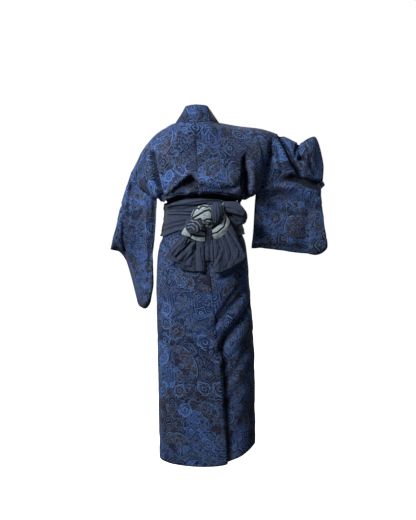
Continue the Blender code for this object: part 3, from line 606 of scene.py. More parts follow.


# Creases too fine for the solids, by cloth: how far each goes in or out, its half width on either side, and
# the (x, z) places along it. One is the side on the wearer's left of a line that runs down, and the side
# below a line that runs towards the wearer's right.
# A crease's depth also sets how dark its painted shade is.
Crease = namedtuple("Crease", "depth wide_one wide_other line")
CREASES = {
    "body_left": [
        # The armhole's drag line on the left, and the cloth that folds under beside it.
        Crease(-15, 6, 10, [(182, -112), (176, -150), (165, -195), (150, -262)]),
        Crease(5, 10, 9, [(200, -100), (192, -150), (182, -200)]),
        Crease(-4, 8, 6, [(126, -52), (112, -90), (98, -150)]),
        Crease(-4, 9, 5, [(136, -238), (112, -226), (92, -200)]),
        # The blouse hangs over the sash in a shallow tent, shaded and painted darkest under its peak.
        Crease(-21, 32, 4, [(104, -236), (74, -212), (44, -192), (26, -206), (6, -224)]),
        Crease(-7, 12, 16, [(84, -232), (48, -216), (18, -230)]),
        Crease(-9, 22, 8, [(152, -268), (100, -264), (50, -258), (6, -256)]),
        # Drags from the knot and the seat over the skirt.
        Crease(-5, 6, 8, [(152, -424), (128, -456), (92, -480)]),
        Crease(-4, 8, 5, [(60, -745), (30, -752), (8, -750)]),
        Crease(-3, 12, 6, [(158, -660), (100, -690), (34, -668)]),
        Crease(-3, 10, 7, [(150, -960), (96, -1010), (30, -1030)]),
        Crease(-3, 9, 6, [(120, -860), (70, -890), (20, -940)]),
    ],
    "body_right": [
        # The blouse hangs over the sash in a shallow tent, shaded and painted darkest under its peak.
        Crease(-12, 24, 11, [(-2, -224), (-30, -236), (-62, -240), (-92, -230)]),
        Crease(-14, 3, 6, [(-143, -130), (-147, -168)]),
        Crease(-30, 6, 13, [(-148, -182), (-150, -210), (-153, -262)]),
        Crease(-9, 22, 8, [(-2, -256), (-50, -258), (-100, -262), (-136, -270)]),
        Crease(-6, 8, 8, [(-104, -238), (-128, -222), (-142, -190)]),
        Crease(5, 10, 12, [(-166, -120), (-174, -170), (-178, -220)]),
        Crease(-4, 6, 9, [(-196, -50), (-214, -96), (-222, -150)]),
        # Drags from the knot and the seat over the skirt.
        Crease(-5, 8, 5, [(-2, -750), (-22, -748), (-40, -742)]),
        Crease(-5, 14, 7, [(-40, -706), (-88, -640), (-136, -574), (-150, -556)]),
        Crease(-4.5, 18, 8, [(-56, -792), (-104, -728), (-170, -664)]),
        Crease(-4, 8, 8, [(-60, -560), (-100, -530), (-150, -500)]),
        Crease(-3, 18, 12, [(-66, -880), (-110, -838), (-172, -770)]),
        Crease(-3.5, 26, 14, [(-80, -1010), (-128, -960), (-172, -890)]),
        Crease(-4, 30, 20, [(-84, -1170), (-130, -1120), (-168, -1040)]),
    ],
    "sleeve_right": [
        # The raised sleeve: pulled from the shoulder, hooked at its bend, and ridged from there to the cuff.
        Crease(-10, 6, 12, [(-276, -50), (-296, -88), (-318, -136), (-348, -185)]),
        Crease(-11, 5, 10, [(-341, -82), (-334, -104), (-334, -124), (-346, -134), (-364, -130)]),
        Crease(8, 8, 8, [(-306, -222), (-340, -230), (-380, -246), (-416, -258)]),
        Crease(-13, 8, 10, [(-322, -196), (-360, -206), (-404, -220), (-436, -224)]),
        Crease(-5, 6, 8, [(-262, -90), (-272, -130), (-282, -180)]),
        Crease(-5, 6, 9, [(-384, -120), (-392, -160), (-412, -190)]),
        Crease(-4, 10, 8, [(-240, -300), (-300, -326), (-380, -336)]),
        Crease(-10, 26, 14, [(-215, -446), (-290, -452), (-380, -456)]),
    ],
    "sleeve_left": [
        # The hanging sleeve: its ridge down the middle, and the inner side that falls away from it.
        Crease(-9, 6, 16, [(178, -250), (180, -320), (182, -400), (176, -520)]),
        Crease(6, 12, 6, [(212, -230), (204, -320), (202, -440), (204, -560)]),
        Crease(-7, 5, 8, [(296, -300), (292, -370), (296, -430), (292, -470)]),
        Crease(-4, 6, 8, [(262, -230), (252, -300), (256, -380)]),
        Crease(-4, 7, 8, [(262, -500), (244, -560), (228, -630)]),
    ],
    "front_left": [
        # The front: drags beside the collar, the blouse over the sash, and slanting folds down the skirt.
        Crease(-3, 8, 6, [(84, -60), (72, -140), (66, -250)]),
        Crease(-3.4, 6, 9, [(118, -70), (104, -150), (96, -258)]),
        Crease(-3.6, 6, 8, [(178, -120), (164, -190), (150, -262)]),
        Crease(-3.2, 18, 8, [(160, -268), (100, -260), (30, -258)]),
        Crease(-2.8, 14, 7, [(150, -450), (96, -560), (20, -700)]),
        Crease(-2.6, 12, 8, [(160, -560), (110, -720), (30, -900)]),
        Crease(-2.6, 16, 8, [(150, -800), (90, -980), (40, -1180)]),
        Crease(-2.4, 8, 8, [(30, -450), (6, -540), (-24, -620)]),
        Crease(5, 16, 10, [(120, -480), (60, -620), (-10, -780)]),
    ],
    "front_right": [
        Crease(-3, 6, 8, [(-52, -70), (-44, -150), (-52, -250)]),
        Crease(-3.4, 9, 6, [(-92, -74), (-86, -160), (-96, -258)]),
        Crease(-3.8, 6, 9, [(-150, -110), (-150, -180), (-146, -262)]),
        Crease(-3.2, 18, 8, [(-10, -258), (-80, -260), (-140, -268)]),
    ],
    "overlap_left": [
        Crease(-2.6, 12, 7, [(-60, -520), (-90, -640), (-130, -760)]),
        Crease(-2.4, 12, 7, [(-70, -860), (-110, -960), (-150, -1080)]),
    ],
    "sash_wrap": [
        # The wound sash: layers that lap over each other, and drags between them.
        Crease(4.5, 1.6, 12, [
            (149, -308), (128, -303), (100, -294), (60, -290), (11, -290), (-39, -289), (-89, -280),
        ]),
        Crease(5, 7, 3, [(135, -305), (100, -290), (46, -278), (-11, -271), (-82, -266)]),
        Crease(-7, 3, 5, [(146, -289), (103, -275), (39, -263), (-39, -257)]),
        Crease(-9, 4.4, 2.4, [(146, -325), (132, -315), (107, -307), (71, -306), (39, -297), (-11, -288)]),
        Crease(5, 1.6, 11, [(153, -337), (128, -329), (93, -325), (57, -326), (21, -327)]),
        Crease(-9, 5, 2.4, [(150, -392), (128, -381), (103, -371), (75, -364), (53, -351)]),
        Crease(-8, 4, 2.4, [(153, -379), (132, -368), (100, -356), (61, -347)]),
        Crease(-7, 3.4, 2.2, [(117, -320), (82, -317), (36, -319)]),
        Crease(-4.5, 4, 2.5, [(-68, -289), (-110, -285), (-142, -296)]),
        Crease(-6, 6, 4, [(-89, -369), (-125, -387), (-161, -415)]),
        Crease(-5, 14, 10, [(-125, -362), (-146, -383), (-157, -405)]),
        Crease(-5, 3, 2, [(-117, -264), (-142, -273), (-160, -287)]),
    ],
    "sash_tail_left": [
        # The two tails: sharp folds from the knot and the soft turned tip.
        Crease(-9, 3, 4, [(41, -421), (67, -447), (96, -476)]),
        Crease(3, 3, 8, [(32, -426), (57, -455), (85, -483)]),
        Crease(-9, 3, 4, [(28, -453), (46, -474), (65, -497)]),
        Crease(-4, 4, 2.4, [(117, -457), (99, -476), (78, -495)]),
        Crease(4, 6, 5, [(67, -416), (88, -437), (113, -462)]),
        Crease(-3, 1.8, 2.2, [(8, -444), (6, -469), (1, -497)]),
        Crease(-5, 2.2, 2.6, [(25, -423), (26, -465), (26, -511)]),
        Crease(-3, 2, 3, [(54, -409), (60, -426), (74, -444)]),
    ],
    "sash_tail_right": [
        Crease(-3, 2, 3, [(-74, -402), (-88, -430), (-99, -462)]),
        Crease(-3.5, 2, 3, [(-87, -387), (-113, -426), (-131, -458)]),
        Crease(-3, 2, 3, [(-94, -373), (-123, -416), (-145, -458)]),
        Crease(-2.5, 3, 3, [(-51, -419), (-58, -448), (-47, -483)]),
        Crease(2.4, 4, 5, [(-42, -508), (-60, -476), (-71, -451)]),
        Crease(-2.5, 2, 2.6, [(-63, -414), (-74, -437), (-78, -465)]),
        Crease(2, 3, 5, [(-103, -501), (-120, -472), (-124, -451)]),
        Crease(-2, 2, 4, [(-81, -515), (-95, -487), (-99, -465)]),
    ],
    "sash_core": [
        # The knot: rolled and crushed cloth.
        Crease(-3.6, 1.5, 2.2, [(35, -342), (18, -330), (0, -319), (-22, -308)]),
        Crease(-3, 1.6, 2.2, [(-23, -308), (-31, -317), (-34, -333)]),
        Crease(-3.2, 1.6, 2.2, [(25, -346), (11, -342), (0, -349), (-14, -343), (-30, -347)]),
        Crease(2, 3, 4, [(28, -321), (10, -309), (-10, -301)]),
        Crease(-2, 1.4, 1.8, [(3, -295), (7, -305), (15, -312)]),
    ],
    "sash_gather": [
        Crease(-3, 1.2, 1.6, [(54, -365), (42, -361), (28, -368), (25, -383)]),
        Crease(-3, 1.2, 1.6, [(50, -353), (32, -353), (15, -363), (12, -379)]),
        Crease(-2.6, 1.2, 1.6, [(35, -342), (16, -351), (5, -365)]),
        Crease(-2.6, 1.2, 1.6, [(53, -378), (40, -374), (35, -385)]),
    ],
    "sash_knot": [
        Crease(-2.2, 1.2, 1.6, [(-40, -290), (-37, -308), (-41, -329), (-43, -350)]),
        Crease(-2.2, 1.2, 1.6, [(-48, -287), (-48, -308), (-51, -329), (-49, -350)]),
        Crease(-2.2, 1.2, 1.6, [(-54, -289), (-59, -308), (-60, -326), (-54, -347)]),
    ],
    "sash_band_right": [
        Crease(-2.8, 1.4, 1.8, [(-82, -344), (-74, -369), (-51, -389), (-29, -396)]),
        Crease(-2.4, 1.4, 1.8, [(-70, -341), (-56, -361), (-34, -378)]),
    ],
    "sash_band_left": [
        Crease(-2.6, 1.4, 1.8, [(42, -394), (25, -400), (-6, -403)]),
        Crease(-3, 1.6, 1.8, [(44, -377), (40, -389), (41, -405)]),
    ],
    "sash_loop": [
        Crease(-8, 2.4, 5, [(-66, -295), (-84, -316), (-105, -337), (-126, -354)]),
        Crease(3, 4, 4, [(-80, -291), (-105, -305), (-122, -319)]),
        Crease(-4.5, 2, 3.4, [(-80, -303), (-108, -307), (-133, -321)]),
        Crease(-2.6, 2, 2.6, [(-66, -309), (-87, -326), (-105, -335)]),
    ],
}


def beside_line(x, z, line):
    """Distance of every place from a line of points, negative on the side called one, and how far the place
    lies past the line's ends."""
    nearest = np.full(x.shape, np.inf)
    side, past = np.zeros(x.shape), np.zeros(x.shape)
    for number, ((x0, z0), (x1, z1)) in enumerate(zip(line, line[1:])):
        run = math.hypot(x1 - x0, z1 - z0)
        way_x, way_z = (x1 - x0) / run, (z1 - z0) / run
        along = (x - x0) * way_x + (z - z0) * way_z
        on_line = np.clip(along, 0, run)
        away = np.hypot(x - x0 - on_line * way_x, z - z0 - on_line * way_z)
        beyond = np.zeros(x.shape)
        if number == 0:
            beyond = np.maximum(-along, beyond)
        if number == len(line) - 2:
            beyond = np.maximum(along - run, beyond)
        closer = away < nearest
        nearest = np.where(closer, away, nearest)
        side = np.where(closer, (x - x0) * way_z - (z - z0) * way_x, side)
        past = np.where(closer, beyond, past)
    return np.where(side < 0, -nearest, nearest), past


def crease_push(points, name, to_sides=False):
    """How far the creases of a cloth move each point out, in millimetres. Those of the wound sash end behind
    its sides, and go on to them only as painted shade."""
    x, y, z = points.T
    shares = {name: 1.0}
    if name.startswith("body"):
        shares = {name: fade_in(y, BACK_CREASES), name.replace("body", "front"): fade_in(y, FRONT_CREASES)}
    elif name == "sash_wrap":
        shares = {name: fade_in(y, WRAP_MARKS if to_sides else WRAP_CREASES)}
    push = np.zeros(len(points))
    for cloth, share in shares.items():
        for crease in CREASES.get(cloth, ()):
            beside, past = beside_line(x, z, crease.line)
            wide = np.where(beside < 0, crease.wide_one, crease.wide_other)
            mean = (crease.wide_one + crease.wide_other) / 2
            bell = np.exp(-((beside / wide) ** 2) - (past / (CREASE_FADE * mean)) ** 2)
            push += crease.depth * bell * share
    return push


def lines_and_shade_share(points, name):
    """1 on the thin lines that are printed on a piece of the sash and on its painted shadow, 0 off them."""
    share = np.zeros(len(points))
    for stripe in PRINTED_LINES_AND_SHADE.get(name, ()):
        beside, past = beside_line(points[:, 0], points[:, 2], stripe.line)
        inside = (stripe.half - np.hypot(beside, past)) / STRIPE_EDGE + 0.5
        share = np.maximum(share, np.clip(inside, 0, 1))
    return share


class Sheet:
    """One length of cloth: points and faces of its inner side, and the place on the bolt of every corner.
    Towards gives a direction that points outwards at every point."""

    def __init__(self, name, points, faces, bolt, wall, towards):
        self.name = name
        self.points = np.array(points, float).reshape(-1, 3)
        self.faces = np.array(faces)
        self.bolt = np.array(bolt, float)
        self.wall = wall
        self.normals = self.find_normals()
        if (self.normals * towards(self.points)).sum() < 0:
            self.faces = self.faces[:, ::-1]
            self.bolt = self.bolt[:, ::-1]
            self.normals = -self.normals
        self.rim = self.find_rim()

    def find_normals(self):
        corners = self.points[self.faces]
        across = np.cross(corners[:, 2] - corners[:, 0], corners[:, 3] - corners[:, 1])
        normals = np.zeros_like(self.points)
        for k in range(4):
            np.add.at(normals, self.faces[:, k], across)
        return unit(normals)

    def find_rim(self):
        """Edges with a face on one side only, each in its face's own order."""
        sides = {}
        for face in self.faces.tolist():
            for k in range(4):
                sides[(face[k], face[(k + 1) % 4])] = True
        return [side for side in sides if (side[1], side[0]) not in sides]

    def rim_points(self):
        return sorted({point for side in self.rim for point in side})

    def pull_back_rim(self):
        """Leaves a narrow gap along every edge, so that seams show."""
        along = np.zeros_like(self.points)
        for start, end in self.rim:
            step = unit(self.points[end] - self.points[start])
            along[start] += step
            along[end] += step
        rim = self.rim_points()
        self.points[rim] += unit(np.cross(self.normals[rim], along[rim])) * RIM_GAP

    def crumple(self, depth, size, seed):
        """Small uneven waves. They go by place and seed alone, so that pieces still meet at their seams."""
        waves = [noise.noise(Vector(p) / size + Vector((seed, seed, seed))) for p in self.points.tolist()]
        small = [noise.noise(Vector(p) / (size * 0.37) + Vector((seed, 0, 0))) for p in self.points.tolist()]
        push = depth * (np.array(waves) + 0.4 * np.array(small))
        self.points += self.normals * push[:, None]

    def relief(self, rounds):
        """How far each point lies under the smoothed cloth round it: below zero on a ridge."""
        pairs = np.concatenate([self.faces[:, [k, (k + 1) % 4]] for k in range(4)])
        start, end = np.unique(np.sort(pairs, axis=1), axis=0).T
        many = len(self.points)
        count = np.bincount(start, minlength=many) + np.bincount(end, minlength=many)
        smooth = self.points.copy()
        for _ in range(rounds):
            for k in range(3):
                line = smooth[:, k]
                around = np.bincount(start, line[end], many) + np.bincount(end, line[start], many)
                smooth[:, k] = (line + around / count) / 2
        return ((smooth - self.points) * self.normals).sum(axis=1)

    def build(self, thick, finish, reverse, flatten=False):
        """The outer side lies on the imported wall's own, and the cloth is thick millimetres deep."""
        mesh = bpy.data.meshes.new(self.name)
        outer = (self.points + self.normals * self.wall) * MM
        mesh.from_pydata(outer.tolist(), [], self.faces.tolist())
        mesh.shade_smooth()
        layer = mesh.uv_layers.new(name="bolt")
        layer.data.foreach_set("uv", self.bolt.reshape(-1))
        mesh.materials.append(finish)
        mesh.materials.append(reverse)
        piece = bpy.data.objects.new(self.name, mesh)
        bpy.context.scene.collection.objects.link(piece)
        if flatten:
            lay_flat(piece, self.bolt.reshape(-1, 2))
        wall = piece.modifiers.new("cloth", "SOLIDIFY")
        wall.thickness = thick * MM
        wall.offset = -1
        wall.material_offset = 1
        wall.material_offset_rim = 0
        wall.use_quality_normals = True
        apply_modifier(piece, wall.name)
        return piece

    def mark_hollows(self, piece, scale, push):
        """Writes how deep each point lies in a crease, from 0 to 1, for the painted shade there, and how far
        it stands out on a ridge, where the colour is drawn paler.
        """
        relief = np.maximum(self.relief(scale.rounds) / scale.dark, -push / CREASE_DARK - CREASE_START)
        rim = self.rim_points()
        relief[rim] = np.maximum(relief[rim], SEAM_DARK.get(self.name, EDGE_DARK))
        for name, sign in (("hollow", 1), ("ridge", -1)):
            values = np.clip(relief * sign, 0, 1)
            made = piece.data.attributes.new(name, "FLOAT", "POINT")
            made.data.foreach_set("value", np.tile(values, len(piece.data.vertices) // len(values)))


def read_all(rows, name, width):
    """One property of every row, as an array of that width."""
    values = np.empty(len(rows) * width)
    rows.foreach_get(name, values)
    return values.reshape(-1, width)


def lay_flat(piece, bolt):
    """Unwraps a length of cloth, so that its print isn't sheared, and lays it on the bolt again at its true
    size."""
    mesh = piece.data
    bpy.ops.object.select_all(action="DESELECT")
    bpy.context.view_layer.objects.active = piece
    piece.select_set(True)
    bpy.ops.object.mode_set(mode="EDIT")
    bpy.ops.mesh.select_all(action="SELECT")
    bpy.ops.uv.unwrap(method="CONFORMAL", margin=0.0)
    bpy.ops.object.mode_set(mode="OBJECT")
    piece.select_set(False)
    flat = read_all(mesh.uv_layers["bolt"].data, "uv", 2).view(complex)[:, 0]
    laid = bolt @ np.array([1, 1j])
    if (signed_area(flat) > 0) != (signed_area(laid) > 0):
        flat = flat.conj()
    real = sum(face.area for face in mesh.polygons)
    flat = (flat - flat.mean()) * math.sqrt(real / abs(signed_area(flat)))
    turn = (flat.conj() * (laid - laid.mean())).sum()
    flat = flat * turn / abs(turn) + laid.mean()
    mesh.uv_layers["bolt"].data.foreach_set("uv", np.stack([flat.real, flat.imag], axis=-1).reshape(-1))


def signed_area(corners):
    """Area of all the faces in a UV map, whose corners are complex numbers, four to a face."""
    a, b, c, d = corners.reshape(-1, 4).T
    return float(((c - a).conj() * (d - b)).imag.sum() / 2)


def apply_modifier(piece, name):
    bpy.ops.object.select_all(action="DESELECT")
    bpy.context.view_layer.objects.active = piece
    piece.select_set(True)
    bpy.ops.object.modifier_apply(modifier=name)
    piece.select_set(False)


def share_seams(sheets):
    """Where the edges of two lengths of cloth meet, both are thickened in the same direction."""
    for n, one in enumerate(sheets):
        rim_one = one.rim_points()
        for other in sheets[n + 1 :]:
            rim_other = other.rim_points()
            apart = np.linalg.norm(one.points[rim_one][:, None] - other.points[rim_other][None], axis=-1)
            for a, b in zip(*np.nonzero(apart < SEWN_WITHIN)):
                both = unit(one.normals[rim_one[a]] + other.normals[rim_other[b]])
                one.normals[rim_one[a]] = both
                other.normals[rim_other[b]] = both


def grid_faces(rows, cols):
    return [
        (i * cols + j, i * cols + j + 1, (i + 1) * cols + j + 1, (i + 1) * cols + j)
        for i in range(rows - 1)
        for j in range(cols - 1)
    ]


def grid_sheet(name, points, bolt, wall, towards):
    """A length of cloth whose points lie in rows and columns."""
    faces = grid_faces(*points.shape[:2])
    return Sheet(name, points, faces, bolt.reshape(-1, 2)[np.array(faces)], wall, towards)


def lengths(points, axis):
    """Cloth length in metres from the first row or column, along the surface."""
    step = np.linalg.norm(np.diff(points, axis=axis), axis=-1) * MM
    start = np.zeros_like(np.take(step, [0], axis=axis))
    return np.concatenate([start, np.cumsum(step, axis=axis)], axis=axis)


def steps(*spans):
    """Places from spans of (first, last, number of steps), each place once."""
    return np.unique(np.concatenate([np.linspace(a, b, n + 1) for a, b, n in spans]).round(5))


NECK_SHARES = np.linspace(0, NECK_SHARE, 13)
SHOULDER_SHARES = np.linspace(NECK_SHARE, 1, 46)
CHEST_PLACES = steps((0, 1, 10), (1, 3, 26), (3, 4, 12), (4, 7, 40))
SASH_PLACES = steps((7, 11, 16))
LOW_PLACES = steps((11, 12, 14), (12, 12.06, 2), (12.06, 12.1, 2), (12.1, 14, 52), (14, 17, 105))
PLACES = np.unique(np.concatenate([CHEST_PLACES, SASH_PLACES, LOW_PLACES]))
OVERLAP_PLACES = PLACES[PLACES >= COLLAR_ROUND[0]]
ARMHOLE_PLACES = CHEST_PLACES[CHEST_PLACES <= 4]
OUTWARD_LEAN = np.array([0, 0, 0.2])


def outward_up(points):
    return outward(points) + OUTWARD_LEAN


def body_half(name, side):
    """A back and a front in one length of cloth, which turns over the shoulder without a seam."""
    shares = np.concatenate([NECK_SHARES[:-1], SHOULDER_SHARES])
    q = (SHOULDER_SHARES - NECK_SHARE) / (1 - NECK_SHARE)
    back = back_points(shares[None, :], PLACES[:, None], side)
    front = front_points(q[None, :], PLACES[:, None], side)
    rows, cols, few = len(PLACES), len(shares), len(q)
    front_index = np.arange((rows - 1) * few).reshape(rows - 1, few) + rows * cols
    front_index = np.concatenate([np.arange(cols - few, cols)[None], front_index])
    faces = grid_faces(rows, cols)
    at = front_index
    faces += np.stack([at[:-1, 1:], at[:-1, :-1], at[1:, :-1], at[1:, 1:]], axis=-1).reshape(-1, 4).tolist()
    back_u, back_v = lengths(back, 1), lengths(back, 0)
    front_u, front_v = lengths(front, 1) + back_u[0, cols - few], -lengths(front, 0)
    u = np.concatenate([back_u.reshape(-1), front_u[1:].reshape(-1)]) * side
    v = np.concatenate([back_v.reshape(-1), front_v[1:].reshape(-1)])
    points = np.concatenate([back.reshape(-1, 3), front[1:].reshape(-1, 3)])
    return Sheet(name, points, faces, np.stack([u, -v], axis=-1)[np.array(faces)], CLOTH, outward_up)


def overlap_panel(name, side):
    q = np.linspace(0, 1, 26)
    points = overlap_points(q[None, :], OVERLAP_PLACES[:, None], side)
    bolt = np.stack([lengths(points, 1) * side + OVERLAP_BOLT, -lengths(points, 0)], axis=-1)
    return grid_sheet(name, points, bolt, CLOTH, outward_up)


def collar_angle(place):
    """The collar's seam follows the overlap seam, and below it the overlap panel's edge."""
    if place >= COLLAR_ROUND[0]:
        return pchip(COLLAR_ROUND, COLLAR_ANGLE, place)
    start = COLLAR_ROUND[0] - COLLAR_BLEND
    lower = pchip(SEAM_ROUND, SEAM_ANGLE, min(place, start))
    return lower + (COLLAR_ANGLE[0] - lower) * max(place - start, 0) / COLLAR_BLEND


def collar_half(side):
    """The collar from the middle of the nape to its end, as rows of points from its seam to its free edge."""
    across = np.linspace(0, 1, 15)
    way = np.array([side, 1, 1])
    rows = []
    for share in NECK_SHARES[:-1]:
        seam = back_points(share, 0.0, side)
        part = share / NECK_SHARE
        rise = np.array(NAPE_RISE) * (1 - part) + np.array(NECK_RISE) * way * part
        rows.append(seam + rise * across[:, None])
    for place in PLACES[PLACES <= COLLAR_END]:
        angle = collar_angle(place)
        span = pchip(SPAN_ROUND, SPAN_ANGLE, max(place, 2.0))
        flat = front_layer(angle - span * across, np.full(len(across), max(place, 2.0)), NECK_SHARE, side)
        seam = front_layer(angle, place, NECK_SHARE, side)
        drape = flat - flat[0]
        if place < 2:
            lie = smooth_step(place / 2)
            rise = (flat[-1] - flat[0]) * lie + np.array(NECK_RISE) * way * (1 - lie)
            drape = drape * lie + rise * across[:, None] * (1 - lie)
        rows.append(seam + drape)
    return np.array(rows)


def collar():
    left, right = collar_half(1), collar_half(-1)
    points = np.concatenate([right[:0:-1], left])
    bolt = np.stack([lengths(points, 1) + COLLAR_BOLT, lengths(points, 0)], axis=-1)
    return grid_sheet("collar", points, bolt, COLLAR_CLOTH, outward_up)


# Places down a section of a sleeve. The first nine, one for each half place of the body, are sewn.
DOWN = [0, 0.02, 0.06, 0.12, 0.20, 0.28, 0.36, 0.44, 0.52, 0.58, 0.64, 0.71, 0.78, 0.85, 0.91, 0.96, 1.0]
SEWN = 9
SEWN_DOWN = np.interp(ARMHOLE_PLACES, np.arange(SEWN) / 2, DOWN[:SEWN])
FREE_DOWN = np.concatenate([np.linspace(ARMHOLE_END, LOW_ROUND, 62)[1:], np.linspace(LOW_ROUND, 1, 9)[1:]])
OUT = np.concatenate([np.linspace(0, 0.12, 10), np.linspace(0.12, 1, 84)[1:]])


def sleeve_side(sections, folds, side, front, share, down):
    """Points of the back or the front of a sleeve, at shares of its length and places down each section."""
    share, down = np.broadcast_arrays(share, down)

    def at(name):
        return pchip(column(sections, "share"), column(sections, name), share.ravel()).reshape(share.shape)

    knots = np.array([0, UPPER_AT, LOWER_AT, 1.0])
    x = along_down(knots, [at("top_x"), at("upper_x"), at("lower_x"), at("low_x")], down)
    z = along_down(knots, [at("top_z"), at("upper_z"), at("lower_z"), at("low_z")], down)
    y = at("top_y") + (at("low_y") - at("top_y")) * down
    to_back = unit(np.stack([at("back_x") * side, at("back_y"), 0 * x], axis=-1))
    arm, belly = at("arm"), at("belly")
    deep = arm + (belly - arm) * smooth_step((down - ARM_TOP) / (LOWER_AT - ARM_TOP))
    top_round = np.sqrt(np.clip(1 - (1 - np.clip(down / ARM_TOP, 0, 1)) ** 2, 0, 1))
    low_round = np.sqrt(np.clip(1 - ((np.clip(down, LOW_ROUND, 1) - LOW_ROUND) / (1 - LOW_ROUND)) ** 2, 0, 1))
    half = deep * top_round * low_round
    half = np.where(down > 0, np.maximum(half, HALF_GAP), 0)
    sign = -1.0 if front else 1.0
    points = np.stack([x, y, z], axis=-1) + to_back * (sign * half)[..., None]
    push = fold_push(points, folds) * np.clip(half / WEAK_FOLDS, 0, 1)
    return points + to_back * (sign * push)[..., None]


def along_down(knots, values, down):
    """Each column's own curve through four knots."""
    values = np.stack(values)
    slope = tangents(np.diff(values, axis=0) / np.diff(knots).reshape(-1, 1, 1))
    row = np.clip(np.searchsorted(knots, down, side="right") - 1, 0, len(knots) - 2)
    width = np.diff(knots)[row]
    share = (down - knots[row]) / width

    def pick(table, rows):
        return np.take_along_axis(table, rows[None], axis=0)[0]

    start, end = pick(values, row), pick(values, row + 1)
    return hermite(share, width, start, end, pick(slope, row), pick(slope, row + 1))


def sleeve(name, sections, folds, side):
    """A sleeve in one length of cloth, folded over at its top and sewn along its low edge."""
    down = np.concatenate([SEWN_DOWN, FREE_DOWN])
    sewn = len(SEWN_DOWN)
    fade_down = 1 - smooth_step((np.interp(down, DOWN, np.arange(len(DOWN))) - SEWN + 1) / SEWN_BLEND)
    fade_out = 1 - smooth_step(OUT / SLEEVE_BLEND)
    halves = []
    for front in (False, True):
        points = sleeve_side(sections, folds, side, front, OUT[:, None], down[None, :])
        edge = front_points if front else back_points
        delta = edge(1.0 + 0 * ARMHOLE_PLACES, ARMHOLE_PLACES, side) - points[0, :sewn]
        shift = np.concatenate([delta, np.repeat(delta[-1:], len(down) - sewn, axis=0)]) * fade_down[:, None]
        halves.append(points + shift[None] * fade_out[:, None, None])
    back, front = halves
    points = np.concatenate([back[:, ::-1], front[:, 1:]], axis=1)
    away = unit(points - points.mean(axis=1, keepdims=True)).reshape(-1, 3)
    around = lengths(points, 1)
    around = around[:, len(down) - 1 : len(down)] - around
    bolt = np.stack([(lengths(points, 0) + SLEEVE_BOLT) * side, -around], axis=-1)
    return grid_sheet(name, points, bolt, CLOTH, lambda _: away)


# How the wound sash's layers lie over each other at the front and the sides: where each folded edge lies,
# from 0 at the top to 1 at the bottom, its slope round the body, how far it stands proud, and how far up.
SashEdge = namedtuple("SashEdge", "level slope proud reach")
SASH_EDGES = [
    SashEdge(0.14, 0.0009, 1.9, 0.13),
    SashEdge(0.31, -0.0005, 1.4, 0.10),
    SashEdge(0.47, 0.0008, 1.8, 0.12),
    SashEdge(0.64, 0.0010, 1.6, 0.10),
    SashEdge(0.83, 0.0002, 1.8, 0.14),
]
# How far the sash's lower edge is drawn up, as a share of a level, at turns round the body in degrees.
LIFT_TURN = [-180, -120, -70, -40, -10, 15, 32, 48, 66, 90, 180]
LIFT = [0.0, 0.05, 0.12, 0.05, 0.10, 0.40, 0.52, 0.34, 0.06, -0.06, 0.0]


def sash_wrap():
    """The sash round the waist, as rows of rings that close on themselves."""
    columns, rows = 300, 130
    turn = np.linspace(-180, 180, columns + 1)[None, :]
    level = np.linspace(0, 1, rows)[:, None]
    top = SASH_TOP + SASH_SIDE_DROP * np.sin(np.radians(turn)) ** 2
    bottom = SASH_BOTTOM - pchip(LIFT_TURN, LIFT, turn[0])[None, :]
    turn, place, level = np.broadcast_arrays(turn, top + (bottom - top) * level, level)
    behind = np.abs(turn) <= 90
    around = np.where(behind, turn, np.sign(turn) * (180 - np.abs(turn)))
    zero = np.zeros_like(place)
    back = body_points(around, place, zero, 1, False)
    front = body_points(around, place, zero, 1, True)
    points = np.where(behind[..., None], back, front)
    push = SASH_CLEAR + (SASH_FRONT_CLEAR - SASH_CLEAR) * fade_in(np.abs(turn), WRAP_FRONT)
    wave = 0.012 * np.sin(np.radians(turn) * 3 + 1) + 0.008 * np.sin(np.radians(turn) * 7)
    beside = fade_in(np.abs(turn), WRAP_LAPS)
    for edge in SASH_EDGES:
        above = edge.level + edge.slope * turn + wave - level
        lap = smooth_step(above / LAP_EDGE + 1) * np.exp(-np.maximum(above, 0) / edge.reach)
        push = push + beside * edge.proud * lap
    points = points + outward(points) * (push - SASH_CLOTH / 2)[..., None]
    bolt = np.stack([lengths(points, 1), -lengths(points, 0)], axis=-1)
    faces = np.array(grid_faces(rows, columns + 1))
    joined = faces - faces // (columns + 1) - np.where(faces % (columns + 1) == columns, columns, 0)
    corners = bolt.reshape(-1, 2)[faces]
    return Sheet("sash_wrap", points[:, :-1], joined, corners, SASH_CLOTH, outward)


# How each strip of the knot is gathered: ridges across it, their depth, and how far they lean along it.
Gathers = namedtuple("Gathers", "ridges depth lean")
# The strips, with their gathers and the numbers of their rows and columns of points, and the tails.
STRIPS = {
    "sash_fold_between": (FOLD_BETWEEN, Gathers(3, 1.4, 0.4), 50, 40),
    "sash_band_left": (BAND_LEFT, Gathers(1, 0.5, 0.3), 60, 40),
    "sash_band_right": (BAND_RIGHT, Gathers(2, 0.5, 0.3), 110, 50),
    "sash_loop": (LOOP, Gathers(2, 1.2, 0.6), 100, 60),
    "sash_core_low": (CORE_LOW, Gathers(2, 1.0, 0.8), 50, 40),
    "sash_gather": (GATHER, Gathers(4, 2.2, 1.6), 70, 60),
    "sash_core": (CORE, Gathers(2, 0.9, 0.9), 100, 70),
    "sash_knot": (KNOT, Gathers(5, 1.3, 0.4), 80, 70),
}
PALE_PIECES = ("sash_band_left", "sash_band_right", "sash_core_low", "sash_core")
TAILS = {"sash_tail_middle": TAIL_MIDDLE, "sash_tail_left": TAIL_LEFT, "sash_tail_right": TAIL_RIGHT}
UNDER_TAIL = "sash_tail_under"
PLEAT_STEPS = 14


